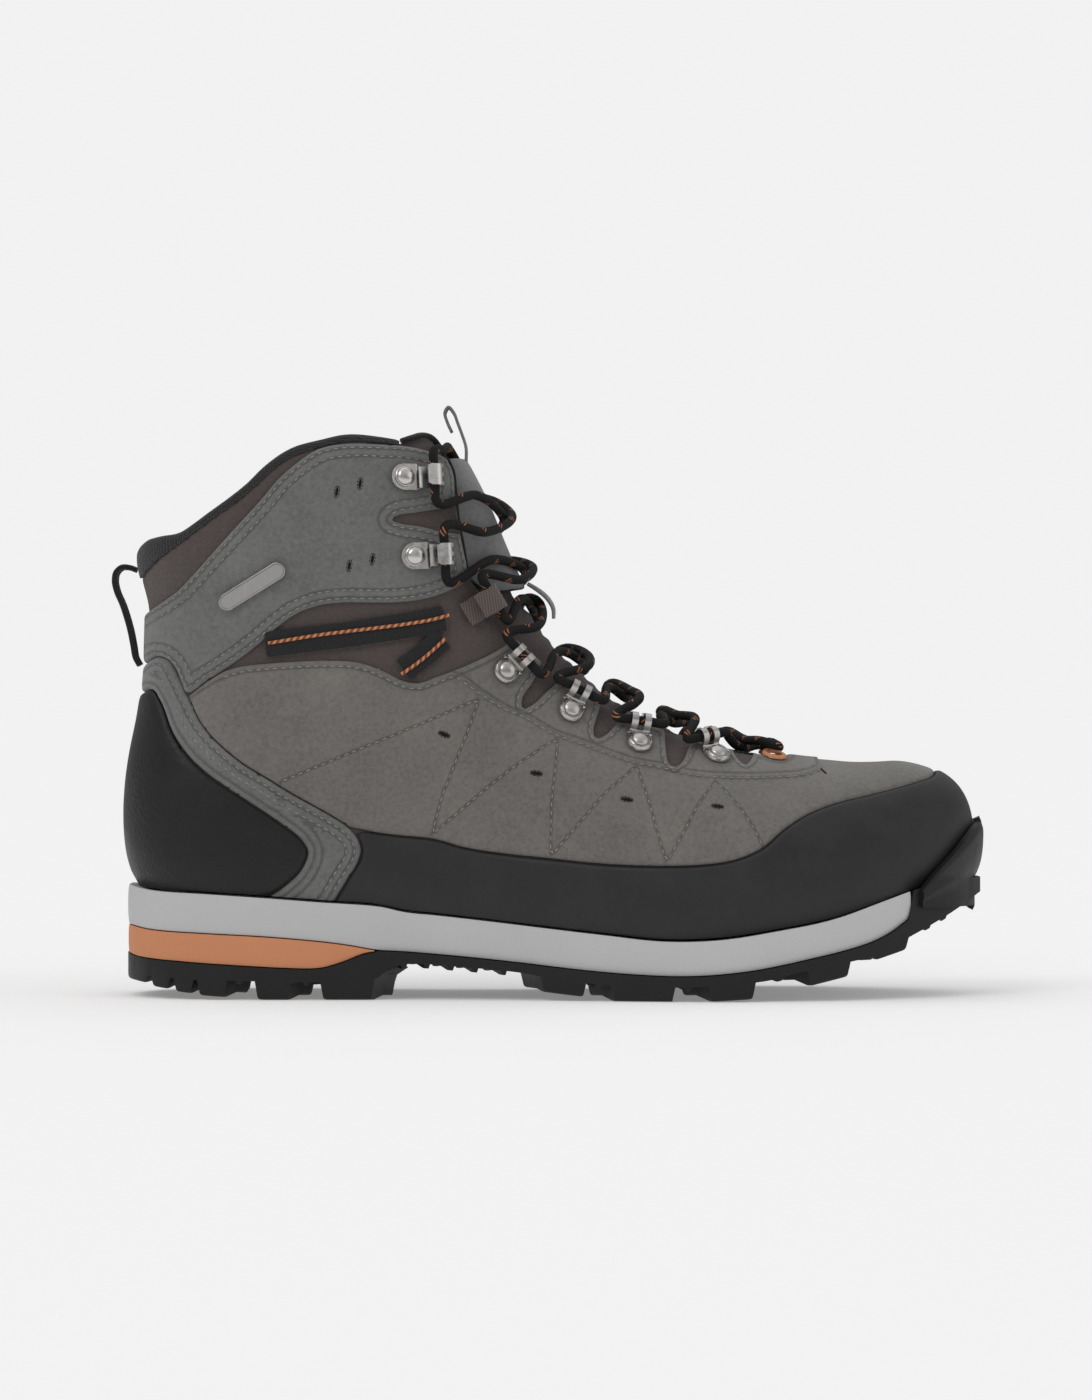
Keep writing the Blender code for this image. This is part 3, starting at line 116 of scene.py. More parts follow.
def lineDistance(x, z, line):
    # how far each place is from a line in the side view
    if id(line) not in readyTables:
        readyTables[id(line)] = (line, np.array([p[:2] for p in line], float))
    points = readyTables[id(line)][1]
    start, run = points[:-1], np.diff(points, axis=0)
    length = np.maximum((run**2).sum(1), 1e-9)
    if np.size(x) < 200:
        px, pz = np.reshape(x, (-1, 1)) - start[:, 0], np.reshape(z, (-1, 1)) - start[:, 1]
        t = np.clip((px * run[:, 0] + pz * run[:, 1]) / length, 0, 1)
        return np.hypot(px - t * run[:, 0], pz - t * run[:, 1]).min(1).reshape(np.shape(x))
    best = np.full(np.shape(x), 1e9)
    for (ax, az), (dx, dz), far in zip(start, run, length):
        t = np.clip(((x - ax) * dx + (z - az) * dz) / far, 0, 1)
        best = np.minimum(best, np.hypot(x - ax - t * dx, z - az - t * dz))
    return best


def depthIn(x, z, outline):
    # distance to an outline's edge, positive inside
    found = np.zeros(np.shape(x), bool)
    closed = list(outline) + [outline[0]]
    for a, b in zip(closed, closed[1:]):
        if a[1] != b[1]:
            crosses = (a[1] > z) != (b[1] > z)
            found ^= crosses & (x < (b[0] - a[0]) * (z - a[1]) / (b[1] - a[1]) + a[0])
    far = lineDistance(x, z, closed)
    return np.where(found, far, -far)


def ramp(value, low, high):
    t = np.clip((value - low) / (high - low), 0, 1)
    return t * t * (3 - 2 * t)


# the surface of the upper

backLine = [(30, -142.5), (39.5, -144.2), (46, -147.4), (54, -149.2), (65, -149.8), (76, -149.2), (86, -147.8),
            (100, -145), (112, -143.4), (125, -142.9), (138, -142.9), (148, -145.2), (154, -146.6), (170, -149),
            (215, -152)]
topLine = through([(141, 34), (146.5, 41), (149.4, 48), (150.4, 56), (150, 63), (148, 69.5), (145, 74),
                   (140.5, 77.6), (134, 80.2), (126, 81.8), (118, 81.5), (110, 81.4), (100, 82.2), (90, 83.1),
                   (80, 84.8), (70, 87.6), (60, 90.8), (45, 96.7), (33, 102.5), (22, 109.3), (14, 116.5),
                   (6, 124), (-1, 132.5), (-6, 141.5), (-10.5, 150.5), (-15.5, 162), (-21, 175.5), (-27, 187.5),
                   (-33, 198), (-39, 208), (-48, 222)], 4)
midsoleTop = [(-150, 39.8), (-140, 38), (-120, 37), (-100, 35.7), (-80, 34.2), (-60, 32.8), (-50, 30.7),
              (-40, 29.7), (-20, 27.5), (0, 25.2), (20, 23), (40, 21), (60, 21.5), (80, 24.5), (100, 28.5),
              (120, 35.3), (130, 38.6), (142, 41), (150, 42)]
lastOuter = [(-152, 35), (-110, 36.5), (-80, 37), (-50, 36.5), (-25, 38), (0, 42), (25, 47), (50, 50.3),
             (70, 50.2), (90, 47.4), (110, 42), (125, 37.5), (140, 31.5), (152, 24)]
lastInner = [(-152, 34.5), (-110, 35), (-80, 34), (-50, 31), (-25, 29.8), (0, 31.8), (25, 37.6), (50, 45.5),
             (70, 49.8), (90, 50.3), (110, 46.5), (125, 41.5), (140, 35.5), (152, 27)]
shaftOuter = [(90, 35.5), (110, 36.2), (130, 36.4), (150, 37.4), (175, 38.6), (215, 39.4)]
shaftInner = [(90, 35), (110, 36.6), (130, 36.6), (150, 37.4), (175, 38.4), (215, 39.2)]
topRound = [(-60, 56), (0, 50), (40, 46), (80, 39), (110, 31), (130, 25), (152, 22)]
backRound = [(40, 36), (100, 40), (150, 45)]
middleLine = [(40, 0), (100, 2), (150, 4.5)]


def featherAt(x):
    return curveAt(midsoleTop, x) + 0.9  # the upper's lower edge, just over the midsole


def rounded(share):
    return (1 - (1 - np.clip(share, 0, 1)) ** 2.2) ** (1 / 2.2)


def widthAt(side, x, z):
    # how far the boot reaches sideways over a place of its side view
    last = np.where(side < 0, curveAt(lastOuter, x), curveAt(lastInner, x))
    shaft = np.where(side < 0, curveAt(shaftOuter, z), curveAt(shaftInner, z))
    shaft = shaft + 2.2 * np.exp(-(((x + 60) / 24) ** 2) - ((z - 106) / 20) ** 2)
    shaft = shaft - 3 * np.exp(-(((x + 118) / 20) ** 2) - ((z - 114) / 26) ** 2)
    t = ramp(z, 48, 115)
    low = np.clip((z - featherAt(x)) / 14, 0, 1)
    full = (last * (1 - t) + shaft * t) * (1 - 0.045 * (1 - low) ** 2)
    toTop, toBack = lineDistance(x, z, topLine), x - curveAt(backLine, z)
    return full * rounded(toTop / curveAt(topRound, x)) * rounded(toBack / curveAt(backRound, z))


def place(side, x, z, height=0.0):
    # the point over one place of the side view, and the outward normal there
    w = float(widthAt(side, x, z))
    step = 0.4
    across = float(widthAt(side, x + step, z) - widthAt(side, x - step, z)) / (2 * step)
    up = float(widthAt(side, x, z + step) - widthAt(side, x, z - step)) / (2 * step)
    normal = Vector((-across, side, -up)).normalized()
    return Vector((x, float(curveAt(middleLine, x)) + side * w, z)) + normal * height, normal


# The grid's lines fan out from the toe to the top of the shaft: where each starts, at the sole or on the
# back line, and where it ends on the front line.
fanStarts = [143, 138, 131, 123, 114, 103, 90, 76, 60, 40, 18, -8, -38, -74, -106, -132]
fanHeights = [42, 58, 76, 94, 110, 124, 137, 150, 165, 182, 204]
fanEnds = [(148.2, 45), (150.4, 56), (149.3, 66), (143.2, 75.6), (131, 80.9), (115, 81.4), (99, 82.3),
           (85, 83.9), (71, 87.3), (57, 91.9), (44, 97.1), (32.5, 102.8), (22, 109.3), (12.5, 117.9),
           (6.5, 123.5), (2.3, 128.4), (-1, 132.5), (-5, 139.6), (-8.5, 146.6), (-12.2, 154.4),
           (-16, 163.2), (-20, 173.1), (-24.3, 182.3),
           (-29, 191.2), (-34.6, 200.8), (-40.5, 210.5), (-46.5, 219.6)]
upperGrid = {"along": 292, "across": 160}


def arcOf(path, point):
    lengths = np.cumsum([0] + [(Vector(b) - Vector(a)).length for a, b in zip(path, path[1:])])
    best = (1e9, 0)
    for i, (a, b) in enumerate(zip(path, path[1:])):
        a, b = Vector(a), Vector(b)
        t = min(max((Vector(point) - a).dot(b - a) / (b - a).length_squared, 0), 1)
        best = min(best, ((a.lerp(b, t) - Vector(point)).length, lengths[i] + t * (b - a).length))
    return best[1]


def onPath(path, arcs):
    values = np.array([p[:] for p in path])
    lengths = np.concatenate([[0], np.cumsum(np.hypot(*np.diff(values, axis=0).T))])
    return np.interp(arcs, lengths, values[:, 0]), np.interp(arcs, lengths, values[:, 1])


def buildUpperSurface():
    edge = [(x, float(featherAt(x))) for x in np.arange(143, -143.5, -1.0)]
    edge += [(float(curveAt(backLine, z)), z) for z in np.arange(40.4, 206, 1.0)]
    starts = [arcOf(edge, (x, float(featherAt(x)))) for x in fanStarts]
    starts += [arcOf(edge, (float(curveAt(backLine, z)), z)) for z in fanHeights]
    ends = [arcOf(topLine, p) for p in fanEnds]
    bm = bmesh.new()
    bmesh.ops.create_grid(bm, x_segments=upperGrid["along"], y_segments=upperGrid["across"], size=0.5)
    flat = np.array([v.co[:] for v in bm.verts])
    line = (flat[:, 0] + 0.5) * (len(fanEnds) - 1)
    side = np.where(flat[:, 1] < 0, outer, inner)
    t = 1 - np.abs(flat[:, 1]) * 2
    sx, sz = onPath(edge, np.interp(line, range(len(starts)), starts))
    ex, ez = onPath(topLine, np.interp(line, range(len(ends)), ends))
    closed = np.clip(line - (len(fanStarts) - 1), 0, 1)
    spread = np.sin(np.pi * t / 2) ** 1.15 * (1 - closed) + (1 - np.cos(np.pi * t)) / 2 * closed
    spread = np.where(t > 0.9999, 1, spread)
    x, z = sx + (ex - sx) * spread, sz + (ez - sz) * spread
    w = np.where((t > 0.9999) | ((t < 0.0001) & (closed > 0.99)), 0, widthAt(side, x, z))
    y = curveAt(middleLine, x) + side * w
    for v, px, py, pz in zip(bm.verts, x, y, z):
        v.co = (px, py, pz)
    bmesh.ops.remove_doubles(bm, verts=bm.verts, dist=0.004)
    bmesh.ops.recalc_face_normals(bm, faces=bm.faces)
    if sum(f.normal.y * f.calc_center_median().y for f in bm.faces) < 0:
        bmesh.ops.reverse_faces(bm, faces=bm.faces)
    bm.normal_update()
    normal = bm.verts.layers.float_vector.new("normal")
    for v in bm.verts:
        v[normal] = v.normal
        if abs(v.co.z - float(featherAt(v.co.x))) < 0.4:
            v[normal] = Vector((v.normal.x, v.normal.y, 0)).normalized()
    return bm


# panels: regions of the surface, cut out and given a thickness


def scoreAt(bm, layer, level):
    # new edges where the layer's value crosses the level
    on = {v for v in bm.verts if abs(v[layer] - level) < 0.02}
    for v in on:
        v[layer] = level
    for e in [e for e in bm.edges if (e.verts[0][layer] - level) * (e.verts[1][layer] - level) < 0]:
        a, b = e.verts
        if (a[layer] - level) * (b[layer] - level) >= 0:
            continue
        t = (a[layer] - level) / (a[layer] - b[layer])
        if t < 0.06 or t > 0.94:
            near = a if t < 0.5 else b
            near[layer] = level
            on.add(near)
            continue
        made = bmesh.utils.edge_split(e, a, t)[1]
        made[layer] = level
        on.add(made)
    faces = {f for v in on for f in v.link_faces}
    for f in faces:
        touched = [v for v in f.verts if v in on]
        if len(touched) == 2 and not bm.edges.get(touched):
            values = [v[layer] - level for v in f.verts]
            if min(values) < 0 < max(values):
                bmesh.utils.face_split(f, *touched)


def placesOf(bm):
    co = np.array([v.co[:] for v in bm.verts])
    return co[:, 0], co[:, 2]


def roughCut(surface, depth, margin=-3.0, suits=None):
    # a copy of the surface near a region, with the region's depth in the layer "edge"
    bm = surface.copy()
    x, z = placesOf(bm)
    values = depth(x, z)
    layer = bm.verts.layers.float.new("edge")
    for v, value in zip(bm.verts, values):
        v[layer] = value
    gone = [f for f in bm.faces if max(v[layer] for v in f.verts) < margin]
    if suits:
        gone += [f for f in bm.faces if not suits(f.calc_center_median())]
    bmesh.ops.delete(bm, geom=list(set(gone)), context="FACES")
    return bm


def addLayer(bm, name, field):
    x, z = placesOf(bm)
    layer = bm.verts.layers.float.new(name)
    for v, value in zip(bm.verts, field(x, z)):
        v[layer] = value
    return layer


def trimmed(bm, layer, level=0.0):
    gone = [f for f in bm.faces if sum(v[layer] for v in f.verts) / len(f.verts) < level]
    bmesh.ops.delete(bm, geom=gone, context="FACES")


def thicken(bm, under, over):
    # a closed solid between two heights over the surface; each height is a function of the vertex
    normal = bm.verts.layers.float_vector["normal"]
    kept = list(bm.verts)
    for v in liftedCopy(bm):
        v.co += v[normal] * over(v)
    for v in kept:
        v.co += v[normal] * under(v)
    bmesh.ops.recalc_face_normals(bm, faces=bm.faces)


def liftedCopy(bm):
    # doubles the faces, joined along the border, and gives the new vertices
    moved = bmesh.ops.extrude_face_region(bm, geom=bm.faces[:], use_keep_orig=True)
    return [g for g in moved["geom"] if isinstance(g, bmesh.types.BMVert)]


def finished(bm, name, material, smooth=35, body="boot"):
    # the mesh as an object in metres, riding on a body
    bmesh.ops.scale(bm, vec=(mm, mm, mm), verts=bm.verts)
    data = bpy.data.meshes.new(name)
    bm.to_mesh(data)
    bm.free()
    data.materials.append(material)
    if smooth:
        data.shade_smooth()
        data.set_sharp_from_angle(angle=math.radians(smooth))
    piece = bpy.data.objects.new(name, data)
    bpy.context.scene.collection.objects.link(piece)
    if body:
        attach(piece, body)
    return piece


edgeSteps = (0.0, 0.35, 0.9)  # where a panel's edge is scored, so that it rolls over smoothly


def rolled(top, low, layer, roll=0.55):
    # a height that rounds over at the edge: from part of the way up to the full thickness
    return lambda v: low + (top - low) * (0.45 + 0.55 * (1 - math.exp(-max(v[layer], 0) / roll)))


# outlines in the side view

collarLine = [(-148, 154), (-146.4, 158.3), (-143, 161), (-139, 162), (-130, 163.5), (-125, 166.5), (-120, 170),
              (-110, 177), (-105, 181), (-100, 186), (-95, 190), (-90, 193), (-80, 196), (-70, 198.2),
              (-60, 197.7),
              (-50, 196.2), (-40, 193.6), (-35, 191.5)]
throatLine = [(-35, 191.5), (-33.2, 186), (-32.2, 178), (-31, 168), (-29, 158), (-27.5, 150), (-20, 138),
              (-11.5, 127.5), (-3, 120), (5, 114), (16, 106.6), (28, 99.8), (40, 95), (51, 91.4), (63, 88.2),
              (75, 86), (84, 84.2), (88, 87)]
frame2d = [(175, 87), (175, 0), (-175, 0)]
upperOutline = through([(-175, 154)] + collarLine + throatLine[1:], 4) + [Vector(p) for p in frame2d]
brownLine = [(-175, 151), (-149, 151), (-146, 149.2), (-142, 152), (-138, 155.5), (-130, 161), (-125, 164.6),
             (-119.5, 168.6), (-109.5, 175.6), (-104.4, 179.8), (-99.4, 184.6), (-94.5, 188.6), (-89.6, 191.5),
             (-80, 194.6), (-70, 196.8), (-60, 196.3), (-50, 194.9), (-40, 192.4), (-36, 191)]
brownOutline = through(brownLine + throatLine[1:], 4) + [Vector(p) for p in frame2d]
tongueSide = [(-53, 197), (-51, 186), (-49.5, 172), (-46.5, 155), (-42, 140), (-33, 126), (-21, 114), (-8, 104),
              (6, 96), (20, 89.5), (34, 84.5), (46, 82), (56, 83), (64, 88)]
tongueTop = [(-53, 197), (-49, 198.5), (-45, 200.5), (-41, 202), (-37.5, 202), (-35.4, 200.5)]
tongueOutline = (through(tongueTop, 4) + [Vector(p) for p in ((-25, 203), (70, 203), (70, 92))]
                 + through(tongueSide[::-1], 4)[:-1])
cuffTop = [(-175, 134), (-150, 134.6), (-145, 135.5), (-140, 138), (-135, 141), (-130, 144.5), (-125, 149.5),
           (-120, 155), (-110, 166), (-100, 177), (-95, 183), (-90, 187.5), (-80, 194), (-70, 195.6),
           (-60, 195.4),
           (-50, 194.8), (-40, 192.4), (-36.5, 191)]
cuffFront = [(-36.5, 191), (-34.2, 186), (-33.2, 178), (-32, 168), (-30, 158), (-28.6, 150), (-29.6, 146.4)]
cuffLow = [(-29.6, 146.4), (-35, 143.5), (-42, 141), (-52, 139.5), (-62, 139.3), (-72, 139.4), (-82, 138),
           (-90, 134.5), (-96, 129.8), (-102, 124.5), (-110, 118.5), (-120, 112), (-127.5, 107.5),
           (-129.3, 111.8),
           (-131.8, 117.3), (-134.5, 119.8), (-138, 120.6), (-141, 119.3), (-146, 116.6), (-175, 116)]
cuffOutline = through(cuffTop, 4) + through(cuffFront, 4)[1:] + through(cuffLow, 4)[1:]
cuffNotch = through([(-28, 174.6), (-38, 172.6), (-47, 171), (-53.5, 169.8), (-55, 168.8), (-53, 167.9),
                     (-45, 166.6), (-38, 164.8), (-32, 164.2), (-27, 164.6)], 4)
stayEdge = [(-127.5, 107.5), (-126, 105), (-124, 100.5), (-121, 95.5), (-117, 91), (-112, 86.5), (-106, 82),
            (-100, 78.5), (-92, 73.5), (-84, 69), (-76, 64.5), (-70, 60.5), (-67, 57), (-65.5, 53), (-67, 47.5),
            (-70, 43), (-73, 38), (-78, 30)]
stayTop = [(-175, 116), (-146, 116.4), (-143, 118), (-140, 120), (-137, 120.8), (-134.5, 120), (-132.5, 118),
           (-130.5, 114), (-128.5, 110)]
stayOutline = through(stayTop + stayEdge, 4) + [Vector((-175, 30))]
heelEdge = [(-175, 107), (-146, 107), (-139.5, 108.8), (-136.8, 105), (-132, 93.5), (-125, 84), (-120, 79.5),
            (-110, 72.5), (-100, 66), (-92, 60.5), (-87, 56.5), (-84.4, 52), (-86, 47), (-92, 40.5),
            (-99, 35.8),
            (-106, 30)]
heelOutline = through(heelEdge, 4) + [Vector((-175, 30))]
randEdge = [(-78, 61), (-70, 60.5), (-60, 58.5), (-50, 57.3), (-40, 56.3), (-30, 53.5), (-15, 51.2), (0, 49.7),
            (20, 47.8), (38, 47.2), (52, 47.5), (65, 49.2), (75, 53.3), (82, 59), (90, 64), (100, 67.8),
            (115, 71.3), (130, 75.2), (137, 77.5), (141, 82), (143, 92)]
randOutline = through(randEdge, 4) + [Vector(p) for p in ((175, 92), (175, 10), (-78, 10))]
lowerTop = [(-175, 107), (-128, 107.2), (-122, 111.2), (-115, 115.2), (-108, 117.4), (-100, 118.3), (-90, 119),
            (-78, 119.4), (-66, 118.6), (-58, 115.8), (-50, 112), (-46, 111.4), (-40, 113.4), (-28, 118),
            (-20, 121.8), (-12, 127)]
lowerThroat = [(-12, 127)] + [(x - 0.6, z - 0.8) for x, z in throatLine[8:]]
lowerOutline = (through(lowerTop, 4) + through(lowerThroat, 4)[1:]
                + [Vector(p) for p in ((96, 100), (175, 100), (175, 0), (-175, 0))])
# openings in the lower suede that show the weave, from the throat down to a rounded tip
windows = [through(points, 4) for points in (
    [(-1.5, 121), (-5, 112), (-9.3, 103.6), (-8.8, 102.2), (-7, 102.8), (-1, 108), (6.5, 114.8)],
    [(19, 108), (18.6, 103.5), (17, 98), (16.1, 93), (17, 91.4), (19, 92), (24, 96.5), (31, 102)],
    [(41, 97), (41.3, 92.5), (41.9, 85), (42.6, 82.2), (44.5, 81.3), (46.3, 82.2), (49, 87), (52, 94)],
    [(63, 91), (64.6, 88.8), (67.5, 83), (69.4, 81.6), (71.3, 83), (73.6, 88), (75, 90.5)])]
eyestayLine = [(-33, 113.5), (-23, 106.5), (-14, 101), (-10, 99.5), (2, 92.5), (10, 89.5), (20, 85.5), (30, 82),
               (40, 80), (50, 77.5), (60, 76.5), (80, 76.2), (90, 76.8), (97, 78.8)]
eyestayOutline = (through([(-60, 116), (-46, 115)] + eyestayLine, 4)
                  + [Vector(p) for p in ((94, 110), (-40, 160))])


# materials


def nodeIn(tree, kind, **settings):
    node = tree.nodes.new(kind)
    for key, value in settings.items():
        if key.startswith("in_"):
            node.inputs[key[3:].replace("_", " ")].default_value = value
        else:
            setattr(node, key, value)
    return node


def mathIn(tree, operation, a, b=0.0, clamp=False):
    # a math node whose inputs are sockets or numbers
    node = nodeIn(tree, "ShaderNodeMath", operation=operation, use_clamp=clamp)
    for socket, value in zip(node.inputs, (a, b)):
        if isinstance(value, (int, float)):
            socket.default_value = value
        else:
            tree.links.new(value, socket)
    return node.outputs[0]


def timesIn(tree, a, b):
    return mathIn(tree, "MULTIPLY", a, b)


def plusIn(tree, a, b):
    return mathIn(tree, "ADD", a, b)


def axesOf(tree, vector):
    parts = nodeIn(tree, "ShaderNodeSeparateXYZ")
    tree.links.new(vector, parts.inputs[0])
    return parts.outputs


def stretched(tree, vector, scale):
    # a vector times a number or a socket
    node = nodeIn(tree, "ShaderNodeVectorMath", operation="SCALE")
    tree.links.new(vector, node.inputs[0])
    if isinstance(scale, (int, float)):
        node.inputs["Scale"].default_value = scale
    else:
        tree.links.new(scale, node.inputs["Scale"])
    return node.outputs[0]


def rangeIn(tree, value, low, high, toLow=0.0, toHigh=1.0):
    node = nodeIn(tree, "ShaderNodeMapRange", in_From_Min=low, in_From_Max=high, in_To_Min=toLow,
                  in_To_Max=toHigh)
    tree.links.new(value, node.inputs["Value"])
    return node.outputs["Result"]


def newGroup(name, inputs, outputs):
    group = bpy.data.node_groups.new(name, "ShaderNodeTree")
    for socket, value in inputs.items():
        kind = "NodeSocketVector" if value is None else "NodeSocketFloat"
        made = group.interface.new_socket(socket, in_out="INPUT", socket_type=kind)
        if value is not None:
            made.default_value = value
    for socket in outputs:
        group.interface.new_socket(socket, in_out="OUTPUT", socket_type="NodeSocketFloat")
    return group, group.nodes.new("NodeGroupInput"), group.nodes.new("NodeGroupOutput")


def noiseIn(tree, vector, scale, detail=3.0, roughness=0.55):
    node = nodeIn(tree, "ShaderNodeTexNoise", in_Scale=1.0, in_Detail=detail, in_Roughness=roughness)
    tree.links.new(stretched(tree, vector, scale), node.inputs["Vector"])
    return node.outputs["Fac"]


def buildNap():
    # suede: a fine nap, soft clouds where it has been brushed, and small darker flecks
    group, come, go = newGroup("suedeNap", {"Vector": None, "Fineness": 1500.0, "Clouds": 38.0},
                               ["Tint", "Height"])
    fine = noiseIn(group, come.outputs["Vector"], come.outputs["Fineness"], 4.0, 0.7)
    broad = noiseIn(group, come.outputs["Vector"], come.outputs["Clouds"], 4.0, 0.6)
    coarser = timesIn(group, come.outputs["Fineness"], 0.42)
    fleck = noiseIn(group, come.outputs["Vector"], coarser, 2.0, 0.5)
    tint = plusIn(group, timesIn(group, fine, 0.5), timesIn(group, broad, 0.45))
    tint = plusIn(group, tint, timesIn(group, fleck, 0.45))
    group.links.new(rangeIn(group, tint, 0.42, 0.98), go.inputs["Tint"])
    group.links.new(plusIn(group, fine, timesIn(group, fleck, 0.8)), go.inputs["Height"])
    return group


def buildGroove():
    # a narrow sunk line at one value of a distance, 1 in its middle
    group, come, go = newGroup("seamGroove", {"Distance": 0.0, "At": 1.5, "Half": 0.5}, ["Line"])
    off = mathIn(group, "ABSOLUTE", mathIn(group, "SUBTRACT", come.outputs["Distance"], come.outputs["At"]))
    line = mathIn(group, "SUBTRACT", 1.0, mathIn(group, "DIVIDE", off, come.outputs["Half"]), clamp=True)
    group.links.new(line, go.inputs["Line"])
    return group


def buildWeave():
    # a fine plain weave with thicker ripstop threads every few millimetres
    group, come, go = newGroup("ripstopWeave", {"Vector": None, "Threads": 9000.0, "Grid": 1150.0},
                               ["Height", "Tint"])
    axes = axesOf(group, come.outputs["Vector"])
    waves, lines = [], []
    for axis in ("X", "Z"):
        at = timesIn(group, axes[axis], come.outputs["Threads"])
        waves.append(mathIn(group, "SINE", at))
        rib = mathIn(group, "SINE", timesIn(group, axes[axis], come.outputs["Grid"]))
        lines.append(rangeIn(group, rib, 0.72, 1.0))
    weave = timesIn(group, waves[0], waves[1])
    grid = mathIn(group, "MAXIMUM", lines[0], lines[1])
    height = plusIn(group, timesIn(group, weave, 0.5), timesIn(group, grid, 0.35))
    group.links.new(height, go.inputs["Height"])
    speckle = noiseIn(group, come.outputs["Vector"], 900.0, 3.0, 0.7)
    tint = plusIn(group, timesIn(group, speckle, 0.7), timesIn(group, grid, 0.06))
    group.links.new(plusIn(group, tint, timesIn(group, weave, 0.1)), go.inputs["Tint"])
    return group


def buildPebble():
    # moulded rubber: a fine pebbled grain with faint scuffs
    group, come, go = newGroup("rubberGrain", {"Vector": None, "Fineness": 900.0}, ["Height", "Scuff"])
    cells = nodeIn(group, "ShaderNodeTexVoronoi", feature="F1", in_Scale=1.0)
    fitted = stretched(group, come.outputs["Vector"], come.outputs["Fineness"])
    group.links.new(fitted, cells.inputs["Vector"])
    fine = noiseIn(group, come.outputs["Vector"], timesIn(group, come.outputs["Fineness"], 1.7), 3.0)
    height = mathIn(group, "SUBTRACT", timesIn(group, fine, 0.7), cells.outputs["Distance"])
    group.links.new(height, go.inputs["Height"])
    scuff = noiseIn(group, come.outputs["Vector"], 55.0, 6.0, 0.75)
    group.links.new(rangeIn(group, scuff, 0.45, 0.75), go.inputs["Scuff"])
    return group


effects = {"nap": buildNap(), "groove": buildGroove(), "weave": buildWeave(), "pebble": buildPebble()}


def startMaterial(name, color, roughness, metallic=0.0, **constants):
    material = bpy.data.materials.new(name)
    material.use_nodes = True
    tree = material.node_tree
    shader = tree.nodes["Principled BSDF"]
    shader.inputs["Base Color"].default_value = (*color, 1)
    shader.inputs["Roughness"].default_value = roughness
    shader.inputs["Metallic"].default_value = metallic
    for key, value in constants.items():
        shader.inputs[key.replace("_", " ")].default_value = value
    vector = nodeIn(tree, "ShaderNodeTexCoord").outputs["Object"]
    return material, tree, shader, vector


def placeEffect(tree, name, **inputs):
    node = nodeIn(tree, "ShaderNodeGroup")
    node.node_tree = effects[name]
    for key, value in inputs.items():
        if isinstance(value, (int, float)):
            node.inputs[key].default_value = value
        else:
            tree.links.new(value, node.inputs[key])
    return node.outputs


def colorBetween(tree, shader, factor, dark, light):
    mix = nodeIn(tree, "ShaderNodeMix", data_type="RGBA")
    tree.links.new(factor, mix.inputs["Factor"])
    mix.inputs["A"].default_value = (*dark, 1)
    mix.inputs["B"].default_value = (*light, 1)
    tree.links.new(mix.outputs["Result"], shader.inputs["Base Color"])
    return mix


def relief(tree, shader, height, distance, strength=1.0):
    bump = nodeIn(tree, "ShaderNodeBump", in_Strength=strength, in_Distance=distance)
    tree.links.new(height, bump.inputs["Height"])
    tree.links.new(bump.outputs["Normal"], shader.inputs["Normal"])


def scaled(color, factor):
    return tuple(min(c * factor, 1) for c in color)


def suedeMaterial(name, color, rows):
    # suede with sunk stitch rows, darkened with painted shade along each groove; rows are (attribute, distance
    # in from the edge)
    material, tree, shader, vector = startMaterial(name, color, 0.92, Sheen_Weight=0.25, Sheen_Roughness=0.6,
                                                   Specular_IOR_Level=0.2)
    nap = placeEffect(tree, "nap", Vector=vector)
    height = timesIn(tree, nap["Height"], 0.22)
    tint = nap["Tint"]
    for attribute, at in rows:
        read = nodeIn(tree, "ShaderNodeAttribute", attribute_name=attribute)
        line = placeEffect(tree, "groove", Distance=read.outputs["Fac"], At=at, Half=0.75)["Line"]
        height = mathIn(tree, "SUBTRACT", height, timesIn(tree, line, 1.0))
        # painted shade: the colour darkens along each sunk stitch groove
        tint = mathIn(tree, "SUBTRACT", tint, timesIn(tree, line, 0.55), clamp=True)
    colorBetween(tree, shader, tint, scaled(color, 0.62), scaled(color, 1.36))
    relief(tree, shader, height, 0.00035)
    return material


def ripstopMaterial(name, color):
    material, tree, shader, vector = startMaterial(name, color, 0.85, Sheen_Weight=0.15, Specular_IOR_Level=0.3)
    weave = placeEffect(tree, "weave", Vector=vector)
    colorBetween(tree, shader, weave["Tint"], scaled(color, 0.6), scaled(color, 1.5))
    relief(tree, shader, weave["Height"], 0.00018)
    return material


def meshMaterial(name, color, scale=1000.0):
    # spacer mesh: rows of small round holes, darkened with painted shade
    material, tree, shader, vector = startMaterial(name, color, 0.9, Sheen_Weight=0.2, Specular_IOR_Level=0.3)
    cells = nodeIn(tree, "ShaderNodeTexVoronoi", feature="F1", in_Scale=1.0, in_Randomness=0.25)
    tree.links.new(stretched(tree, vector, scale), cells.inputs["Vector"])
    holeShade = rangeIn(tree, cells.outputs["Distance"], 0.16, 0.42)
    # painted shade: the colour darkens in each hole
    colorBetween(tree, shader, holeShade, scaled(color, 0.25), scaled(color, 1.5))
    relief(tree, shader, holeShade, 0.0005)
    return material


def rubberMaterial(name, color, roughness, fineness=900.0, depth=0.00008, scuffs=0.4):
    material, tree, shader, vector = startMaterial(name, color, roughness, Specular_IOR_Level=0.32)
    grain = placeEffect(tree, "pebble", Vector=vector, Fineness=fineness)
    colorBetween(tree, shader, timesIn(tree, grain["Scuff"], scuffs), color, scaled(color, 2.2))
    worn = rangeIn(tree, grain["Scuff"], 0, 1, roughness - 0.05, roughness + 0.1)
    tree.links.new(worn, shader.inputs["Roughness"])
    relief(tree, shader, grain["Height"], depth)
    return material


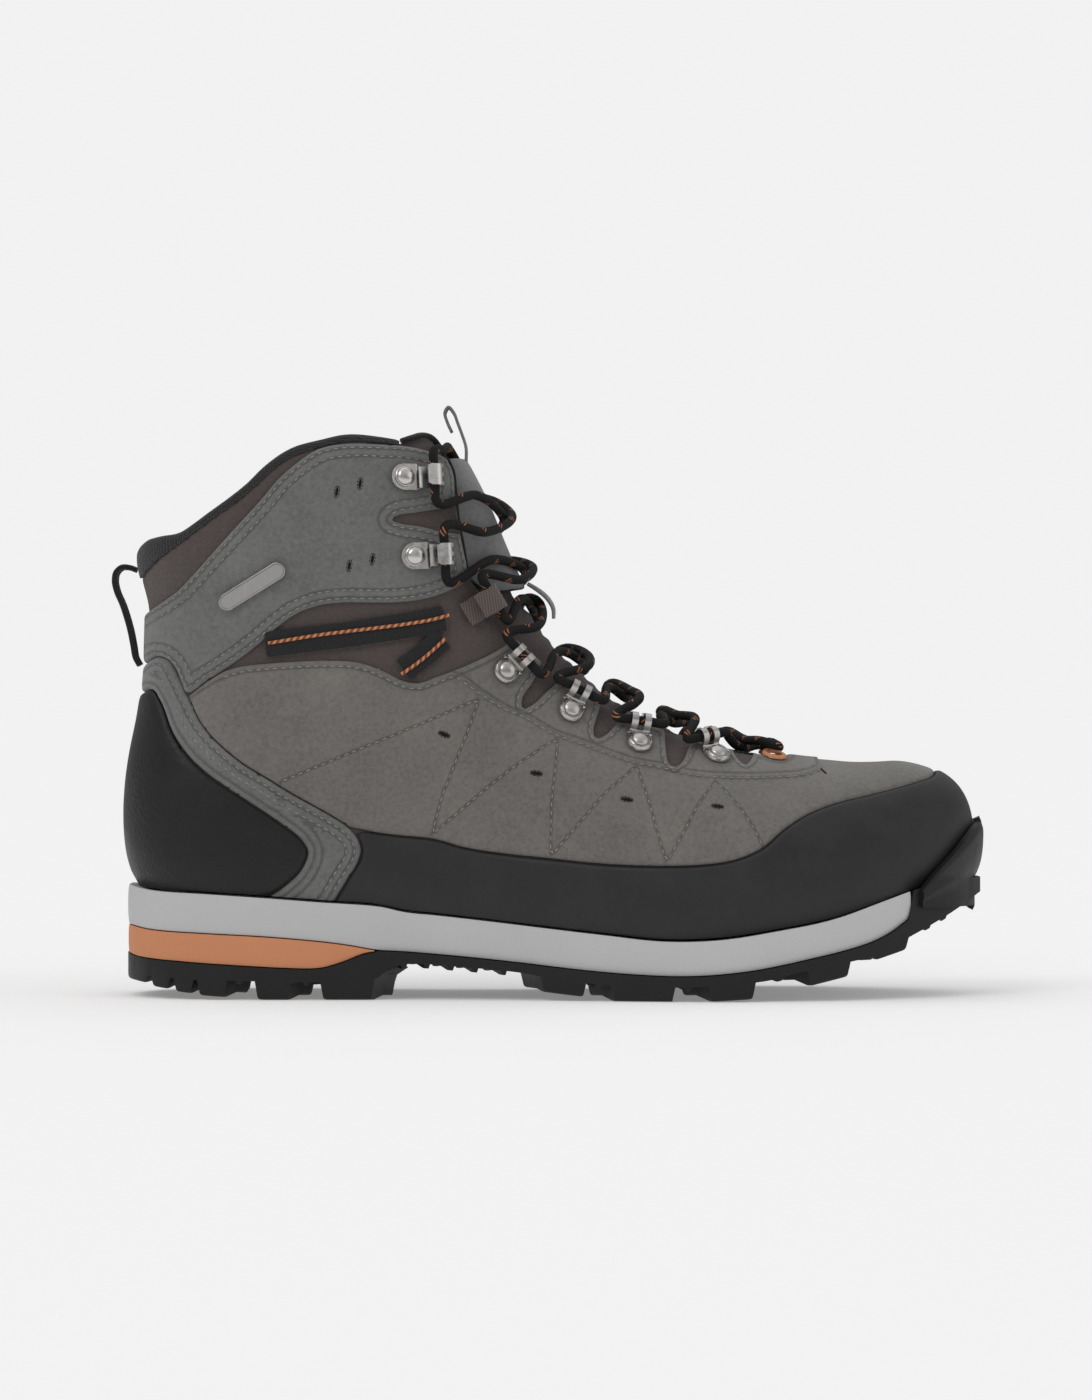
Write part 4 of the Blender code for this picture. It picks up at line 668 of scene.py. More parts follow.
def foamMaterial(name, color):
    material, tree, shader, vector = startMaterial(name, color, 0.62, Specular_IOR_Level=0.4)
    speckle = noiseIn(tree, vector, 1400.0, 3.0, 0.7)
    broad = noiseIn(tree, vector, 22.0, 3.0, 0.5)
    tint = plusIn(tree, timesIn(tree, speckle, 0.5), timesIn(tree, broad, 0.5))
    colorBetween(tree, shader, tint, scaled(color, 0.86), scaled(color, 1.12))
    relief(tree, shader, speckle, 0.00006)
    return material


def metalMaterial(name, color, roughness):
    # plated steel, lightly tumbled
    material, tree, shader, vector = startMaterial(name, color, roughness, 1.0)
    haze = noiseIn(tree, vector, 420.0, 4.0, 0.6)
    uneven = rangeIn(tree, haze, 0.3, 0.7, roughness * 0.75, roughness * 1.35)
    tree.links.new(uneven, shader.inputs["Roughness"])
    colorBetween(tree, shader, haze, scaled(color, 0.8), scaled(color, 1.15))
    relief(tree, shader, noiseIn(tree, vector, 1800.0, 2.0), 0.000004)
    return material


def webbingMaterial(name, color):
    # flat woven tape: slanting rows of thread
    material, tree, shader, vector = startMaterial(name, color, 0.85, Sheen_Weight=0.2, Specular_IOR_Level=0.35)
    axes = axesOf(tree, vector)
    slant = plusIn(tree, axes["X"], timesIn(tree, axes["Z"], 0.9))
    back = mathIn(tree, "SUBTRACT", axes["Z"], timesIn(tree, axes["X"], 0.35))
    weave = timesIn(tree, mathIn(tree, "SINE", timesIn(tree, slant, 5200.0)),
                    mathIn(tree, "SINE", timesIn(tree, back, 3800.0)))
    weave = rangeIn(tree, weave, -1, 1)
    colorBetween(tree, shader, weave, scaled(color, 0.5), scaled(color, 2.0))
    relief(tree, shader, weave, 0.00022)
    return material


def laceMaterial(name, color, fleck):
    # a round braid, with paired orange flecks that slant across it about every centimetre
    material, tree, shader = startMaterial(name, color, 0.7, Specular_IOR_Level=0.25)[:3]
    axes = axesOf(tree, nodeIn(tree, "ShaderNodeUVMap", uv_map="UVMap").outputs["UV"])
    along = timesIn(tree, axes["X"], 95.0)
    right = plusIn(tree, along, axes["Y"])
    left = mathIn(tree, "SUBTRACT", along, axes["Y"])
    strands = [mathIn(tree, "SINE", timesIn(tree, way, 8 * math.tau)) for way in (right, left)]
    braid = rangeIn(tree, timesIn(tree, strands[0], strands[1]), -1, 1)
    mix = colorBetween(tree, shader, braid, scaled(color, 0.5), scaled(color, 1.9))
    turn = mathIn(tree, "FRACT", right)
    near = mathIn(tree, "MINIMUM", mathIn(tree, "ABSOLUTE", mathIn(tree, "SUBTRACT", turn, 0.42)),
                  mathIn(tree, "ABSOLUTE", mathIn(tree, "SUBTRACT", turn, 0.58)))
    part = mathIn(tree, "FRACT", left)
    dash = timesIn(tree, mathIn(tree, "LESS_THAN", near, 0.034), mathIn(tree, "LESS_THAN", part, 0.36))
    flecks = nodeIn(tree, "ShaderNodeMix", data_type="RGBA")
    tree.links.new(dash, flecks.inputs["Factor"])
    tree.links.new(mix.outputs["Result"], flecks.inputs["A"])
    flecks.inputs["B"].default_value = (*fleck, 1)
    tree.links.new(flecks.outputs["Result"], shader.inputs["Base Color"])
    relief(tree, shader, plusIn(tree, braid, timesIn(tree, dash, 0.3)), 0.00035)
    return material


def twistMaterial(name, color):
    # two plies twisted together
    material, tree, shader = startMaterial(name, color, 0.7, Specular_IOR_Level=0.35)[:3]
    axes = axesOf(tree, nodeIn(tree, "ShaderNodeUVMap", uv_map="UVMap").outputs["UV"])
    turn = plusIn(tree, timesIn(tree, axes["X"], 420.0), axes["Y"])
    ply = rangeIn(tree, mathIn(tree, "SINE", timesIn(tree, turn, math.tau)), -1, 1)
    colorBetween(tree, shader, ply, scaled(color, 0.25), scaled(color, 1.25))
    relief(tree, shader, ply, 0.0004)
    return material


def pullTapeMaterial(name, color, stripe):
    # black tape with a woven brown stripe along its middle
    material, tree, shader, vector = startMaterial(name, color, 0.85, Sheen_Weight=0.15, Specular_IOR_Level=0.3)
    axes = axesOf(tree, vector)
    middle = mathIn(tree, "LESS_THAN", mathIn(tree, "ABSOLUTE", axes["Y"]), 0.0022)
    rib = mathIn(tree, "SINE", timesIn(tree, axes["Z"], 5500.0))
    cross = mathIn(tree, "SINE", timesIn(tree, axes["Y"], 6500.0))
    weave = rangeIn(tree, timesIn(tree, rib, cross), -1, 1)
    colorBetween(tree, shader, middle, color, stripe)
    relief(tree, shader, weave, 0.0003)
    return material


suedeGray, suedeWarm, brown = (0.150, 0.152, 0.147), (0.158, 0.149, 0.137), (0.098, 0.078, 0.073)
orange = (0.60, 0.245, 0.115)
looks = {
    "cuffSuede": suedeMaterial("cuffSuede", suedeGray, [("edge", 1.7), ("edge", 4.6)]),
    "lowerSuede": suedeMaterial("lowerSuede", suedeWarm, [("row", 2.2), ("zigzag", 0.0), ("eyestay", 1.4)]),
    "staySuede": suedeMaterial("staySuede", suedeGray, [("edge", 2.3), ("edge", 5.0)]),
    "tongueFace": suedeMaterial("tongueFace", (0.165, 0.168, 0.165), []),
    "ripstop": ripstopMaterial("ripstop", brown),
    "collarMesh": meshMaterial("collarMesh", (0.014, 0.014, 0.015)),
    "rand": rubberMaterial("rand", (0.020, 0.020, 0.0215), 0.52, 1100.0, 0.00005),
    "heelRubber": rubberMaterial("heelRubber", (0.009, 0.0093, 0.0098), 0.5, 620.0, 0.00012),
    "outsole": rubberMaterial("outsole", (0.009, 0.009, 0.0095), 0.55, 1300.0, 0.00005),
    "midsoleFoam": foamMaterial("midsoleFoam", (0.53, 0.53, 0.535)),
    "wedgeFoam": foamMaterial("wedgeFoam", (0.62, 0.255, 0.12)),
    "nickel": metalMaterial("nickel", (0.62, 0.60, 0.58), 0.27),
    "gunmetal": metalMaterial("gunmetal", (0.50, 0.48, 0.465), 0.3),
    "badge": metalMaterial("badge", (0.36, 0.35, 0.34), 0.33),
    "webbing": webbingMaterial("webbing", (0.010, 0.010, 0.011)),
    "orangeEnamel": rubberMaterial("orangeEnamel", orange, 0.4, 1500.0, 0.00002, 0.1),
    "thread": rubberMaterial("thread", (0.26, 0.255, 0.245), 0.8, 3000.0, 0.00005, 0.2),
    "darkThread": rubberMaterial("darkThread", (0.02, 0.02, 0.021), 0.8, 3000.0, 0.00005, 0.2),
    # painted shade: a near-black finish for the shade inside the slots and along the toe seam
    "holeShade": rubberMaterial("holeShade", (0.004, 0.004, 0.004), 0.9, 3000.0, 0.00002, 0.0),
    "laceCord": laceMaterial("laceCord", (0.0065, 0.0065, 0.007), (0.42, 0.165, 0.07)),
    "twist": twistMaterial("twist", (0.58, 0.22, 0.10)),
    "pullTape": pullTapeMaterial("pullTape", (0.014, 0.014, 0.015), (0.075, 0.055, 0.048)),
    "aglet": rubberMaterial("aglet", (0.015, 0.015, 0.015), 0.25, 1500.0, 0.00001, 0.0),
    "fiberBoard": foamMaterial("fiberBoard", (0.45, 0.36, 0.25)),
    "footbedFelt": meshMaterial("footbedFelt", (0.03, 0.03, 0.033), 700.0),
    "tape": webbingMaterial("tape", (0.085, 0.066, 0.060)),
    "binding": webbingMaterial("binding", (0.012, 0.012, 0.013)),
}
print("materials:", len(looks))


# the upper's layers

surface = buildUpperSurface()
print("upper surface:", len(surface.faces), "faces")


def shellDepth(x, z):
    return depthIn(x, z, brownOutline)


def makeTextile():
    # the brown ripstop shell under everything else
    bm = roughCut(surface, shellDepth)
    layer = bm.verts.layers.float["edge"]
    scoreAt(bm, layer, 0.0)
    trimmed(bm, layer)
    thicken(bm, lambda v: -2.0, rolled(0.0, -2.0, layer, 0.4))
    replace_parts(finished(bm, "textileShell", looks["ripstop"]), "textile_shell")


collarPad = {"thick": 4.6, "bulge": 3.6, "wrap": 0.7}


def collarDepth(x, z):
    return depthIn(x, z, upperOutline) + 0.9


def makeLining():
    # padded mesh inside the shaft; it wraps over the top edge and shows as a black rim at the heel
    bm = roughCut(surface, lambda x, z: np.minimum(collarDepth(x, z), -depthIn(x, z, tongueOutline) + 0.1))
    layer = bm.verts.layers.float["edge"]
    shown = addLayer(bm, "shown", lambda x, z: -depthIn(x, z, brownOutline))
    top = addLayer(bm, "top", collarDepth)
    for level in (0.0, 0.5, 1.2):
        scoreAt(bm, layer, level)
    for level in (-0.5, -0.1):
        scoreAt(bm, shown, level)
    trimmed(bm, layer)

    def over(v):
        rim = max(0.0, min(1.0, (v[shown] + 0.5) / 0.4))
        edgeRound = 1 - math.exp(-max(v[top], 0) / 0.8)
        return -2.45 + rim * (2.45 + collarPad["wrap"]) * (0.35 + 0.65 * edgeRound)

    def under(v):
        high = min(max((v.co.z - 95) / 50, 0), 1)
        swell = math.sin(math.pi * min(max(v[top] / 26, 0), 1)) if v.co.z > 140 else 0
        rim = 0.45 + 0.55 * (1 - math.exp(-max(v[top], 0) / 2.0)) if v.co.z > 120 else 1
        return -(collarPad["thick"] + 1.2 * high + collarPad["bulge"] * swell * high) * rim

    thicken(bm, under, over)
    piece = finished(bm, "collarLining", looks["collarMesh"])
    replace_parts(piece, "collar_lining")
    return piece


def cuffDepth(x, z):
    return np.minimum(depthIn(x, z, cuffOutline), -depthIn(x, z, cuffNotch)) - 0.3


def stayDepth(x, z):
    return np.minimum(depthIn(x, z, stayOutline), -depthIn(x, z, heelOutline)) - 0.3


def randDepth(x, z):
    return np.minimum(depthIn(x, z, randOutline), -depthIn(x, z, stayOutline)) - 0.3


def heelDepth(x, z):
    return depthIn(x, z, heelOutline) - 0.3


def lowerDepth(x, z):
    depth = np.minimum(depthIn(x, z, lowerOutline), -depthIn(x, z, stayOutline))
    depth = np.minimum(depth, -depthIn(x, z, randOutline))
    depth = np.minimum(depth, -depthIn(x, z, cuffOutline))
    for window in windows:
        depth = np.minimum(depth, -depthIn(x, z, window))
    return depth - 0.3


zigzag = [(-94, 76.5), (-60, 90.8), (-24.5, 105.6), (-28, 95), (-33, 82), (-37, 72), (-40.8, 58), (-30, 67),
          (-20, 75.5), (-10, 83), (3.2, 91.5), (2.5, 80), (1.5, 70), (1.2, 50.5), (10, 60.5), (20, 72),
          (31, 81.2), (35, 70),
          (38, 60), (41.5, 48.7), (46, 56), (52, 67), (58.5, 75.8), (66, 68), (71, 61), (75, 53.5)]
zigzagPolygon = [Vector(p) for p in zigzag + [(75, -40), (-94, -40)]]
# sewn-in slots, whose openings get a near-black piece of painted shade; each a place and an angle
slots = [((-36.5, 93.3), -22), ((-4, 79.2), -8), ((27.7, 69.8), -12), ((59.2, 67.1), -8)]
cuffSlots = [((-74.3, 178.3), 80), ((-66.3, 181.2), 82), ((-69.8, 152.5), 80), ((-61.8, 154.8), 82)]


def rowDepth(x, z):
    # the free edges of the lower suede, which carry a row of stitches
    depth = depthIn(x, z, lowerOutline)
    for window in windows:
        depth = np.minimum(depth, -depthIn(x, z, window))
    return depth - 0.3


def panelRibs(x, z):
    # embossed slanting ribs in a low field behind the ankle, a plain pattern
    field = through([(-114, 90.5), (-108, 106), (-84, 106.5), (-56, 95.2), (-60, 92.6), (-82, 91)], 2)
    inside = np.clip(depthIn(x, z, field), 0, 1)
    phase = (x + 0.55 * (z - 90)) / 6.4
    return inside * ramp(np.abs((phase % 1) - 0.5), 0.16, 0.24)


def makeLowerSuede():
    bm = roughCut(surface, lowerDepth)
    layer = bm.verts.layers.float["edge"]
    stay = addLayer(bm, "eyestay", lambda x, z: depthIn(x, z, eyestayOutline))
    addLayer(bm, "zigzag", lambda x, z: depthIn(x, z, zigzagPolygon))
    addLayer(bm, "row", rowDepth)
    ribs = addLayer(bm, "ribs", panelRibs)
    for level in edgeSteps:
        scoreAt(bm, layer, level)
    for level in (0.0, 0.45):
        scoreAt(bm, stay, level)
    trimmed(bm, layer)

    def over(v):
        step = ramp(v[stay], -0.05, 0.45) * 0.75
        return rolled(1.75 + step, 0.05, layer)(v) - 0.45 * v[ribs]

    thicken(bm, lambda v: 0.05, over)
    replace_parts(finished(bm, "lowerSuede", looks["lowerSuede"]), "lower_suede")


def makeFlatPanel(name, depth, top, look, node, suits=None, roll=0.55):
    bm = roughCut(surface, depth, suits=suits)
    layer = bm.verts.layers.float["edge"]
    for level in edgeSteps:
        scoreAt(bm, layer, level)
    trimmed(bm, layer)
    thicken(bm, lambda v: 0.05, rolled(top, 0.05, layer, roll))
    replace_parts(finished(bm, name, looks[look]), node)


def tongueOver(z):
    return -2.6 - 3.4 * ramp(z, 134, 150)


def tongueDepth(x, z):
    return depthIn(x, z, tongueOutline) - 0.3


def makeTongue():
    # padded, with shallow ribs across where it shows under the lace
    bm = roughCut(surface, tongueDepth)
    layer = bm.verts.layers.float["edge"]
    scoreAt(bm, layer, 0.0)
    trimmed(bm, layer)

    def over(v):
        bar = math.sin((v.co.x * 0.55 - v.co.z * 0.85) * 1.15)
        return float(tongueOver(v.co.z)) - 0.9 * math.exp(-max(v[layer], 0) / 1.2) + 0.28 * bar

    def under(v):
        swell = ramp(v.co.z, 120, 165) * math.exp(-(((v.co.z - 182) / 22) ** 2))
        return float(tongueOver(v.co.z)) - 4.5 - 2.0 * swell + 1.4 * math.exp(-max(v[layer], 0) / 1.5)

    thicken(bm, under, over)
    piece = finished(bm, "tonguePad", looks["ripstop"])
    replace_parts(piece, "tongue")
    return piece


makeTextile()
lining = makeLining()
makeFlatPanel("cuffSuede", cuffDepth, 1.9, "cuffSuede", "cuff_suede")
makeLowerSuede()
makeFlatPanel("heelStay", stayDepth, 1.95, "staySuede", "heel_stay")
makeFlatPanel("toeRand", randDepth, 2.3, "rand", "rand", lambda p: p.x > -82, roll=0.4)
makeFlatPanel("heelRubber", heelDepth, 2.3, "heelRubber", "heel_rubber", lambda p: p.x < -78, roll=0.7)
tongue = makeTongue()
print("upper layers made")


# the sole

soleOuter = [(-150.2, -4), (-149, -12), (-146, -20), (-140, -28), (-130, -35), (-115, -39.5), (-95, -41),
             (-70, -40.6), (-45, -39.8), (-20, -41.5), (5, -46), (30, -51), (52, -54), (70, -53.8),
             (90, -50.5), (108, -45), (122, -38.5), (134, -31), (144, -21.5), (151, -10.5), (154.8, -2.5)]
soleInner = [(-150.2, 4), (-149, 12), (-146, 20), (-140, 27.5), (-130, 34), (-115, 38), (-95, 38.6),
             (-70, 36.8), (-45, 33.6), (-20, 32), (5, 35), (30, 42), (52, 49.5), (70, 53.4), (80, 54),
             (95, 53), (110, 49), (122, 44), (134, 37), (144, 28), (151, 17.5), (154.8, 9)]
midsoleLow = [(-150, 25.9), (-140, 24.4), (-120, 23.4), (-100, 22.4), (-80, 20.7), (-70, 19.4), (-60, 17.7),
              (-50, 17.1), (-30, 15.4), (-10, 13.4), (10, 11.2), (30, 9.6), (50, 9.1), (70, 10.8), (90, 14.6),
              (110, 19.4), (120, 23.6), (129, 30)]
wedgeLow = [(-150, 15.8), (-145, 14.6), (-130, 13.5), (-110, 12.3), (-90, 11.3), (-80, 11.4), (-72, 13.6),
            (-65, 16.3), (-60, 17.2)]
treadBase = [(-150, 10), (-140, 8), (-125, 7), (-112, 6.8), (-90, 6.4), (-70, 6.2), (-62, 6.8), (-57, 9.8),
             (-50, 12.6), (-30, 11.6), (-8, 9.6), (2, 7.6), (13, 6.4), (22, 5.6), (50, 5.2), (75, 7.2),
             (89, 10.4), (105, 13.6), (114, 15.6), (122, 19.4), (132, 24.4), (142, 29.6), (155, 37)]
lugs = [(-150, -142, 6.4, 5.2), (-139.5, -134, 4.2, 3.4), (-131, -125.5, 2.6, 2), (-122.5, -113.5, 1.4, 0.8),
        (-102, -91, 0, 0), (-79, -62, 0, 0), (-1.5, 12.5, 3, 1.4), (23, 43.5, 0, 0), (57, 71.5, 0, 0.8),
        (91.5, 105, 5.2, 8.4), (115, 126, 14, 17.4)]
ribs = [(x - 0.7, x + 0.7, drop) for drop, places in ((1.6, (-50.5, -42.5, -34, -25.5, -15.5)),
                                                      (1.2, (-108.5, -85, 17.5, 49, 81)), (1.0, (134, 140)))
        for x in places]
tread = {"draft": 0.9, "shear": 0.2, "stud": (6.4, 6.4, 4.4),
         "studs": (-133, -117, -96, -84, -71, 5, 18, 32, 49, 64, 79, 98, 112)}


def lugDepthAt(x):
    # how far the tread stands below its base at a station, 0 between the lugs
    drop = 0.0
    for x0, x1, z0, z1 in lugs:
        if x0 - tread["draft"] < x < x1 + tread["draft"]:
            t = min(max((x - x0) / (x1 - x0), 0), 1)
            full = float(curveAt(treadBase, min(max(x, x0), x1))) - (z0 + (z1 - z0) * t)
            edge = min(x - x0 + tread["draft"], x1 + tread["draft"] - x) / tread["draft"]
            rounding = 0.5 * math.exp(-max(min(x - x0, x1 - x), 0) / 0.35)
            drop = full * edge if edge < 1 else full - rounding
    for x0, x1, depth in ribs:
        if x0 - 0.4 < x < x1 + 0.4:
            drop = max(drop, depth * min((x - x0 + 0.4) / 0.4, (x1 + 0.4 - x) / 0.4, 1))
    return drop


def treadStations():
    found = set(np.arange(-150.2, 154.9, 3.0)) | {-150.2, 154.8}
    for x0, x1, _, _ in lugs:
        found |= {x0 - 0.9, x0 - 0.45, x0, x0 + 0.35, x0 + 0.9, x1 - 0.9, x1 - 0.35, x1, x1 + 0.45, x1 + 0.9}
    for x0, x1, _ in ribs:
        found |= {x0 - 0.4, x0, (x0 + x1) / 2, x1, x1 + 0.4}
    found |= {-150.0, -149.6, -149.0, -148.2, -147.2, 154.5, 154, 153.2, 152.2, 151, 149.6}
    stations = []
    for x in sorted(found):
        if -150.2 <= x <= 154.8 and (not stations or x - stations[-1] > 0.12):
            stations.append(float(x))
    return stations


def makeOutsole():
    stations = treadStations()
    # columns across one half: share of the way out from the channel, and how much of the lug is there
    columns = [(0.0, 0.0), (0.1, 0.0), (0.18, 0.9), (0.21, 1.0), (0.5, 1.0), (0.54, 1.0), (0.9, 1.0),
               (0.975, 0.97), (0.992, 0.9), (1.0, 0.78)]
    across = [(-s, k) for s, k in columns[::-1]] + columns[1:]
    bm = bmesh.new()
    bmesh.ops.create_grid(bm, x_segments=len(stations) - 1, y_segments=len(across) - 1, size=0.5)
    for v in bm.verts:
        i = int(round((v.co.x + 0.5) * (len(stations) - 1)))
        part, share = across[int(round((v.co.y + 0.5) * (len(across) - 1)))]
        x = stations[i]
        edge = abs(float(curveAt(soleOuter if part < 0 else soleInner, x)))
        y = part * edge
        inward = edge - abs(y)
        room = min(1.0, max(edge - 3, 1) / 13.5)
        shift = tread["shear"] * inward * room * min(1, (154.8 - abs(x)) / 20) if abs(x) < 152 else 0
        slope = 1 if x < -55 else -1
        low = float(curveAt(treadBase, x)) - lugDepthAt(x) * share
        groove = 0.9 if abs(abs(part) - 0.52) < 0.03 and abs(x) < 140 else 0.0
        v.co = (x + slope * shift, y, low + groove)
    for v in liftedCopy(bm):
        x = v.co.x
        if x > 128:
            v.co.z = float(featherAt(x)) - 0.8
        else:
            v.co.z = float(curveAt(wedgeLow if x < -60 else midsoleLow, x)) - 0.4
    bmesh.ops.recalc_face_normals(bm, faces=bm.faces)
    # low studs along the channel
    studShape = Matrix.Rotation(math.radians(45), 4, "Z") @ Matrix.Diagonal((*tread["stud"], 1))
    for x in tread["studs"]:
        seat = Matrix.Translation((x, 0, float(curveAt(treadBase, x)) - 0.6))
        stud = bmesh.ops.create_cube(bm, size=1, matrix=seat @ studShape)
        edges = list({e for v in stud["verts"] for e in v.link_edges})
        bmesh.ops.bevel(bm, geom=edges, offset=0.6, segments=2, profile=0.5, affect="EDGES", material=-1)
    bumper = bumperMesh()
    data = bpy.data.meshes.new("bumper")
    bumper.to_mesh(data)
    bumper.free()
    bm.from_mesh(data)
    bpy.data.meshes.remove(data)
    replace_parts(finished(bm, "treadedOutsole", looks["outsole"], 30), "outsole")


toeEdge = [(127, 35.5), (129, 39), (131, 41.2), (135, 45.5), (140, 50.5), (145, 56), (150, 60.8), (156, 62.3)]
bumper = {"start": 129, "foot": 33.0, "inside": 3.3, "out": 6.1, "turns": 96, "levels": 26}


def toeFront(z):
    a, b = next((a, b) for a, b in zip(topLine, topLine[1:]) if a.y <= z <= b.y)
    return a.x + (b.x - a.x) * (z - a.y) / (b.y - a.y)


def bumperMesh():
    # the rubber that climbs over the toe, fuller across its upper half
    tip = max(p.x for p in topLine)
    bm = bmesh.new()
    bmesh.ops.create_grid(bm, x_segments=bumper["turns"], y_segments=bumper["levels"], size=0.5)
    outward = {}
    for v in bm.verts:
        sweep, level = v.co.x * 2, v.co.y + 0.5
        side = outer if sweep < 0 else inner
        reach = math.sin((1 - abs(sweep)) * math.pi / 2)
        edge = float(curveAt(toeEdge, bumper["start"] + (tip + 1.5 - bumper["start"]) * reach))
        z = bumper["foot"] + (edge - bumper["foot"]) * level
        high = max(z, 44.0)
        x = bumper["start"] + (toeFront(high) - 0.1 - bumper["start"]) * reach
        point, normal = place(side, x, high)
        if abs(sweep) < 0.001:
            point.y, normal = float(curveAt(middleLine, x)), Vector((normal.x, 0, normal.z)).normalized()
        normal.z *= 0.4
        rim = ramp(level, 0.3, 0.55) * (1 - ramp(level, 0.9, 1.0)) * 0.6
        v.co = Vector((point.x, point.y, z))
        outward[v] = (normal.normalized(), bumper["out"] - 0.7 + float(rim))
    kept = list(bm.verts)
    order = {tuple(round(c, 3) for c in v.co): outward[v] for v in kept}
    for v in liftedCopy(bm):
        normal, far = order[tuple(round(c, 3) for c in v.co)]
        v.co += normal * far
    for v in kept:
        v.co += outward[v][0] * bumper["inside"]
    bmesh.ops.recalc_face_normals(bm, faces=bm.faces)
    return bm


def soleBand(name, look, node, inset, lowOf, topOf, start, end, bulge, rows=10):
    # a slab that follows the sole's outline, with a profiled side wall
    heelRound = [-150.15, -150.0, -149.7, -149.2, -148.5, -147.6, -146.4, -145]
    between = [x for x in np.concatenate([heelRound, np.arange(-143.5, 154, 2.0)]) if start < x < end]
    xs = [start] + between + [end]
    bm = bmesh.new()
    bmesh.ops.create_grid(bm, x_segments=len(xs) - 1, y_segments=14, size=0.5)
    for v in bm.verts:
        x = xs[int(round((v.co.x + 0.5) * (len(xs) - 1)))]
        part = math.sin(v.co.y * math.pi)
        edge = float(curveAt(soleOuter if part < 0 else soleInner, max(x, -150.2)))
        v.co = (x, abs(part) * (edge - math.copysign(inset, edge)), float(lowOf(x)))
    low, high = set(bm.verts), set(liftedCopy(bm))
    for v in high:
        v.co.z = float(topOf(v.co.x))
    walls = [e for e in bm.edges if (e.verts[0] in high) != (e.verts[1] in high)]
    bmesh.ops.subdivide_edges(bm, edges=walls, cuts=rows, use_grid_fill=True)
    for v in [v for v in bm.verts if v not in low and v not in high]:
        bottom, above = float(lowOf(v.co.x)), float(topOf(v.co.x))
        t = min(max((v.co.z - bottom) / max(above - bottom, 0.1), 0), 1)
        lean = 0.35 if v.co.x > 100 else (-0.8 if v.co.x < -140 else 0)
        out = Vector((lean, 1 if v.co.y > 0 else -1, 0)).normalized()
        v.co += out * bulge * (4 * t * (1 - t)) ** 0.6
    bmesh.ops.recalc_face_normals(bm, faces=bm.faces)
    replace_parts(finished(bm, name, looks[look], 40), node)


makeOutsole()
soleBand("midsoleBand", "midsoleFoam", "midsole", 1.5, lambda x: curveAt(midsoleLow, x),
         lambda x: curveAt(midsoleTop, x), -149.4, 127.5, 0.7)
soleBand("heelWedge", "wedgeFoam", "heel_wedge", 0.75, lambda x: curveAt(wedgeLow, x),
         lambda x: curveAt(midsoleLow, x) - 0.4, -149.4, -61.0, 0.35, 6)
print("sole made")


# the lace's hardware: each loop and hook has a place in the side view and an angle towards the throat
rings = [((58.5, 84.2), 100), ((31.5, 89.4), 82), ((7.4, 101.4), 64), ((-14.8, 115.6), 42)]
hooks = [((-47.5, 155.8), 3), ((-51.6, 183.2), 3)]
eyelet, laceTab = (80, 83), (-24, 138.4)
hardware = {"lift": 2.9, "plate": 1.0, "inside": 2.5, "wall": 0.8, "curlHeight": 3.3}


def seatAt(side, x, z, angle, height):
    # a matrix whose X runs towards the throat, Y along it and Z out of the boot
    point, normal = place(side, x, z)
    towards = Vector((math.cos(math.radians(angle)), 0, math.sin(math.radians(angle))))
    towards = (towards - normal * towards.dot(normal)).normalized()
    along = normal.cross(towards)
    turn = Matrix((towards, along, normal)).transposed().to_4x4()
    return Matrix.Translation(point + normal * height) @ turn


def bentStrip(length, shape, thick, cuts=(60, 30), gone=None):
    # a grid of (distance, across from -1 to 1) bent by a shape function into a closed strip
    bm = bmesh.new()
    bmesh.ops.create_grid(bm, x_segments=cuts[0], y_segments=cuts[1], size=1)
    if gone:
        middles = [(f, f.calc_center_median()) for f in bm.faces]
        holes = [f for f, middle in middles if gone((middle.x + 1) / 2 * length, middle.y)]
        bmesh.ops.delete(bm, geom=holes, context="FACES")
    for group, height in ((list(bm.verts), 0.0), (liftedCopy(bm), thick)):
        for v in group:
            v.co = shape((v.co.x + 1) / 2 * length, v.co.y, height)
    bmesh.ops.remove_doubles(bm, verts=bm.verts, dist=0.01)
    bmesh.ops.dissolve_degenerate(bm, edges=bm.edges, dist=0.01)
    bmesh.ops.recalc_face_normals(bm, faces=bm.faces)
    return bm


def curledShape(back, front, halfAt, sweep, rimAt=None):
    # flat from -back to front, then curled up and back round the lace, and straight on past the sweep
    inside, plate = hardware["inside"], hardware["plate"]
    arc = math.radians(sweep) * inside

    def shape(s, t, height):
        half = halfAt(s)
        rim = rimAt(s, t * half) if rimAt and height > 0 else 0.0
        if s < back + front:
            return Vector((s - back, t * half, plate - hardware["wall"] + height + rim))
        run = s - back - front
        turn = min(run, arc) / inside
        reach = inside + hardware["wall"] - height
        x = front + reach * math.sin(turn) + max(run - arc, 0) * math.cos(turn)
        z = hardware["curlHeight"] - reach * math.cos(turn) + max(run - arc, 0) * math.sin(turn)
        return Vector((x, t * half, z))
    return shape, back + front + arc


def softened(bm, width=0.22, angle=35):
    sharp = [e for e in bm.edges if len(e.link_faces) == 2 and e.calc_face_angle(0) > math.radians(angle)]
    bmesh.ops.bevel(bm, geom=sharp, offset=width, offset_type="OFFSET", segments=1, profile=0.5, affect="EDGES",
                    material=-1, clamp_overlap=True)
    return bm


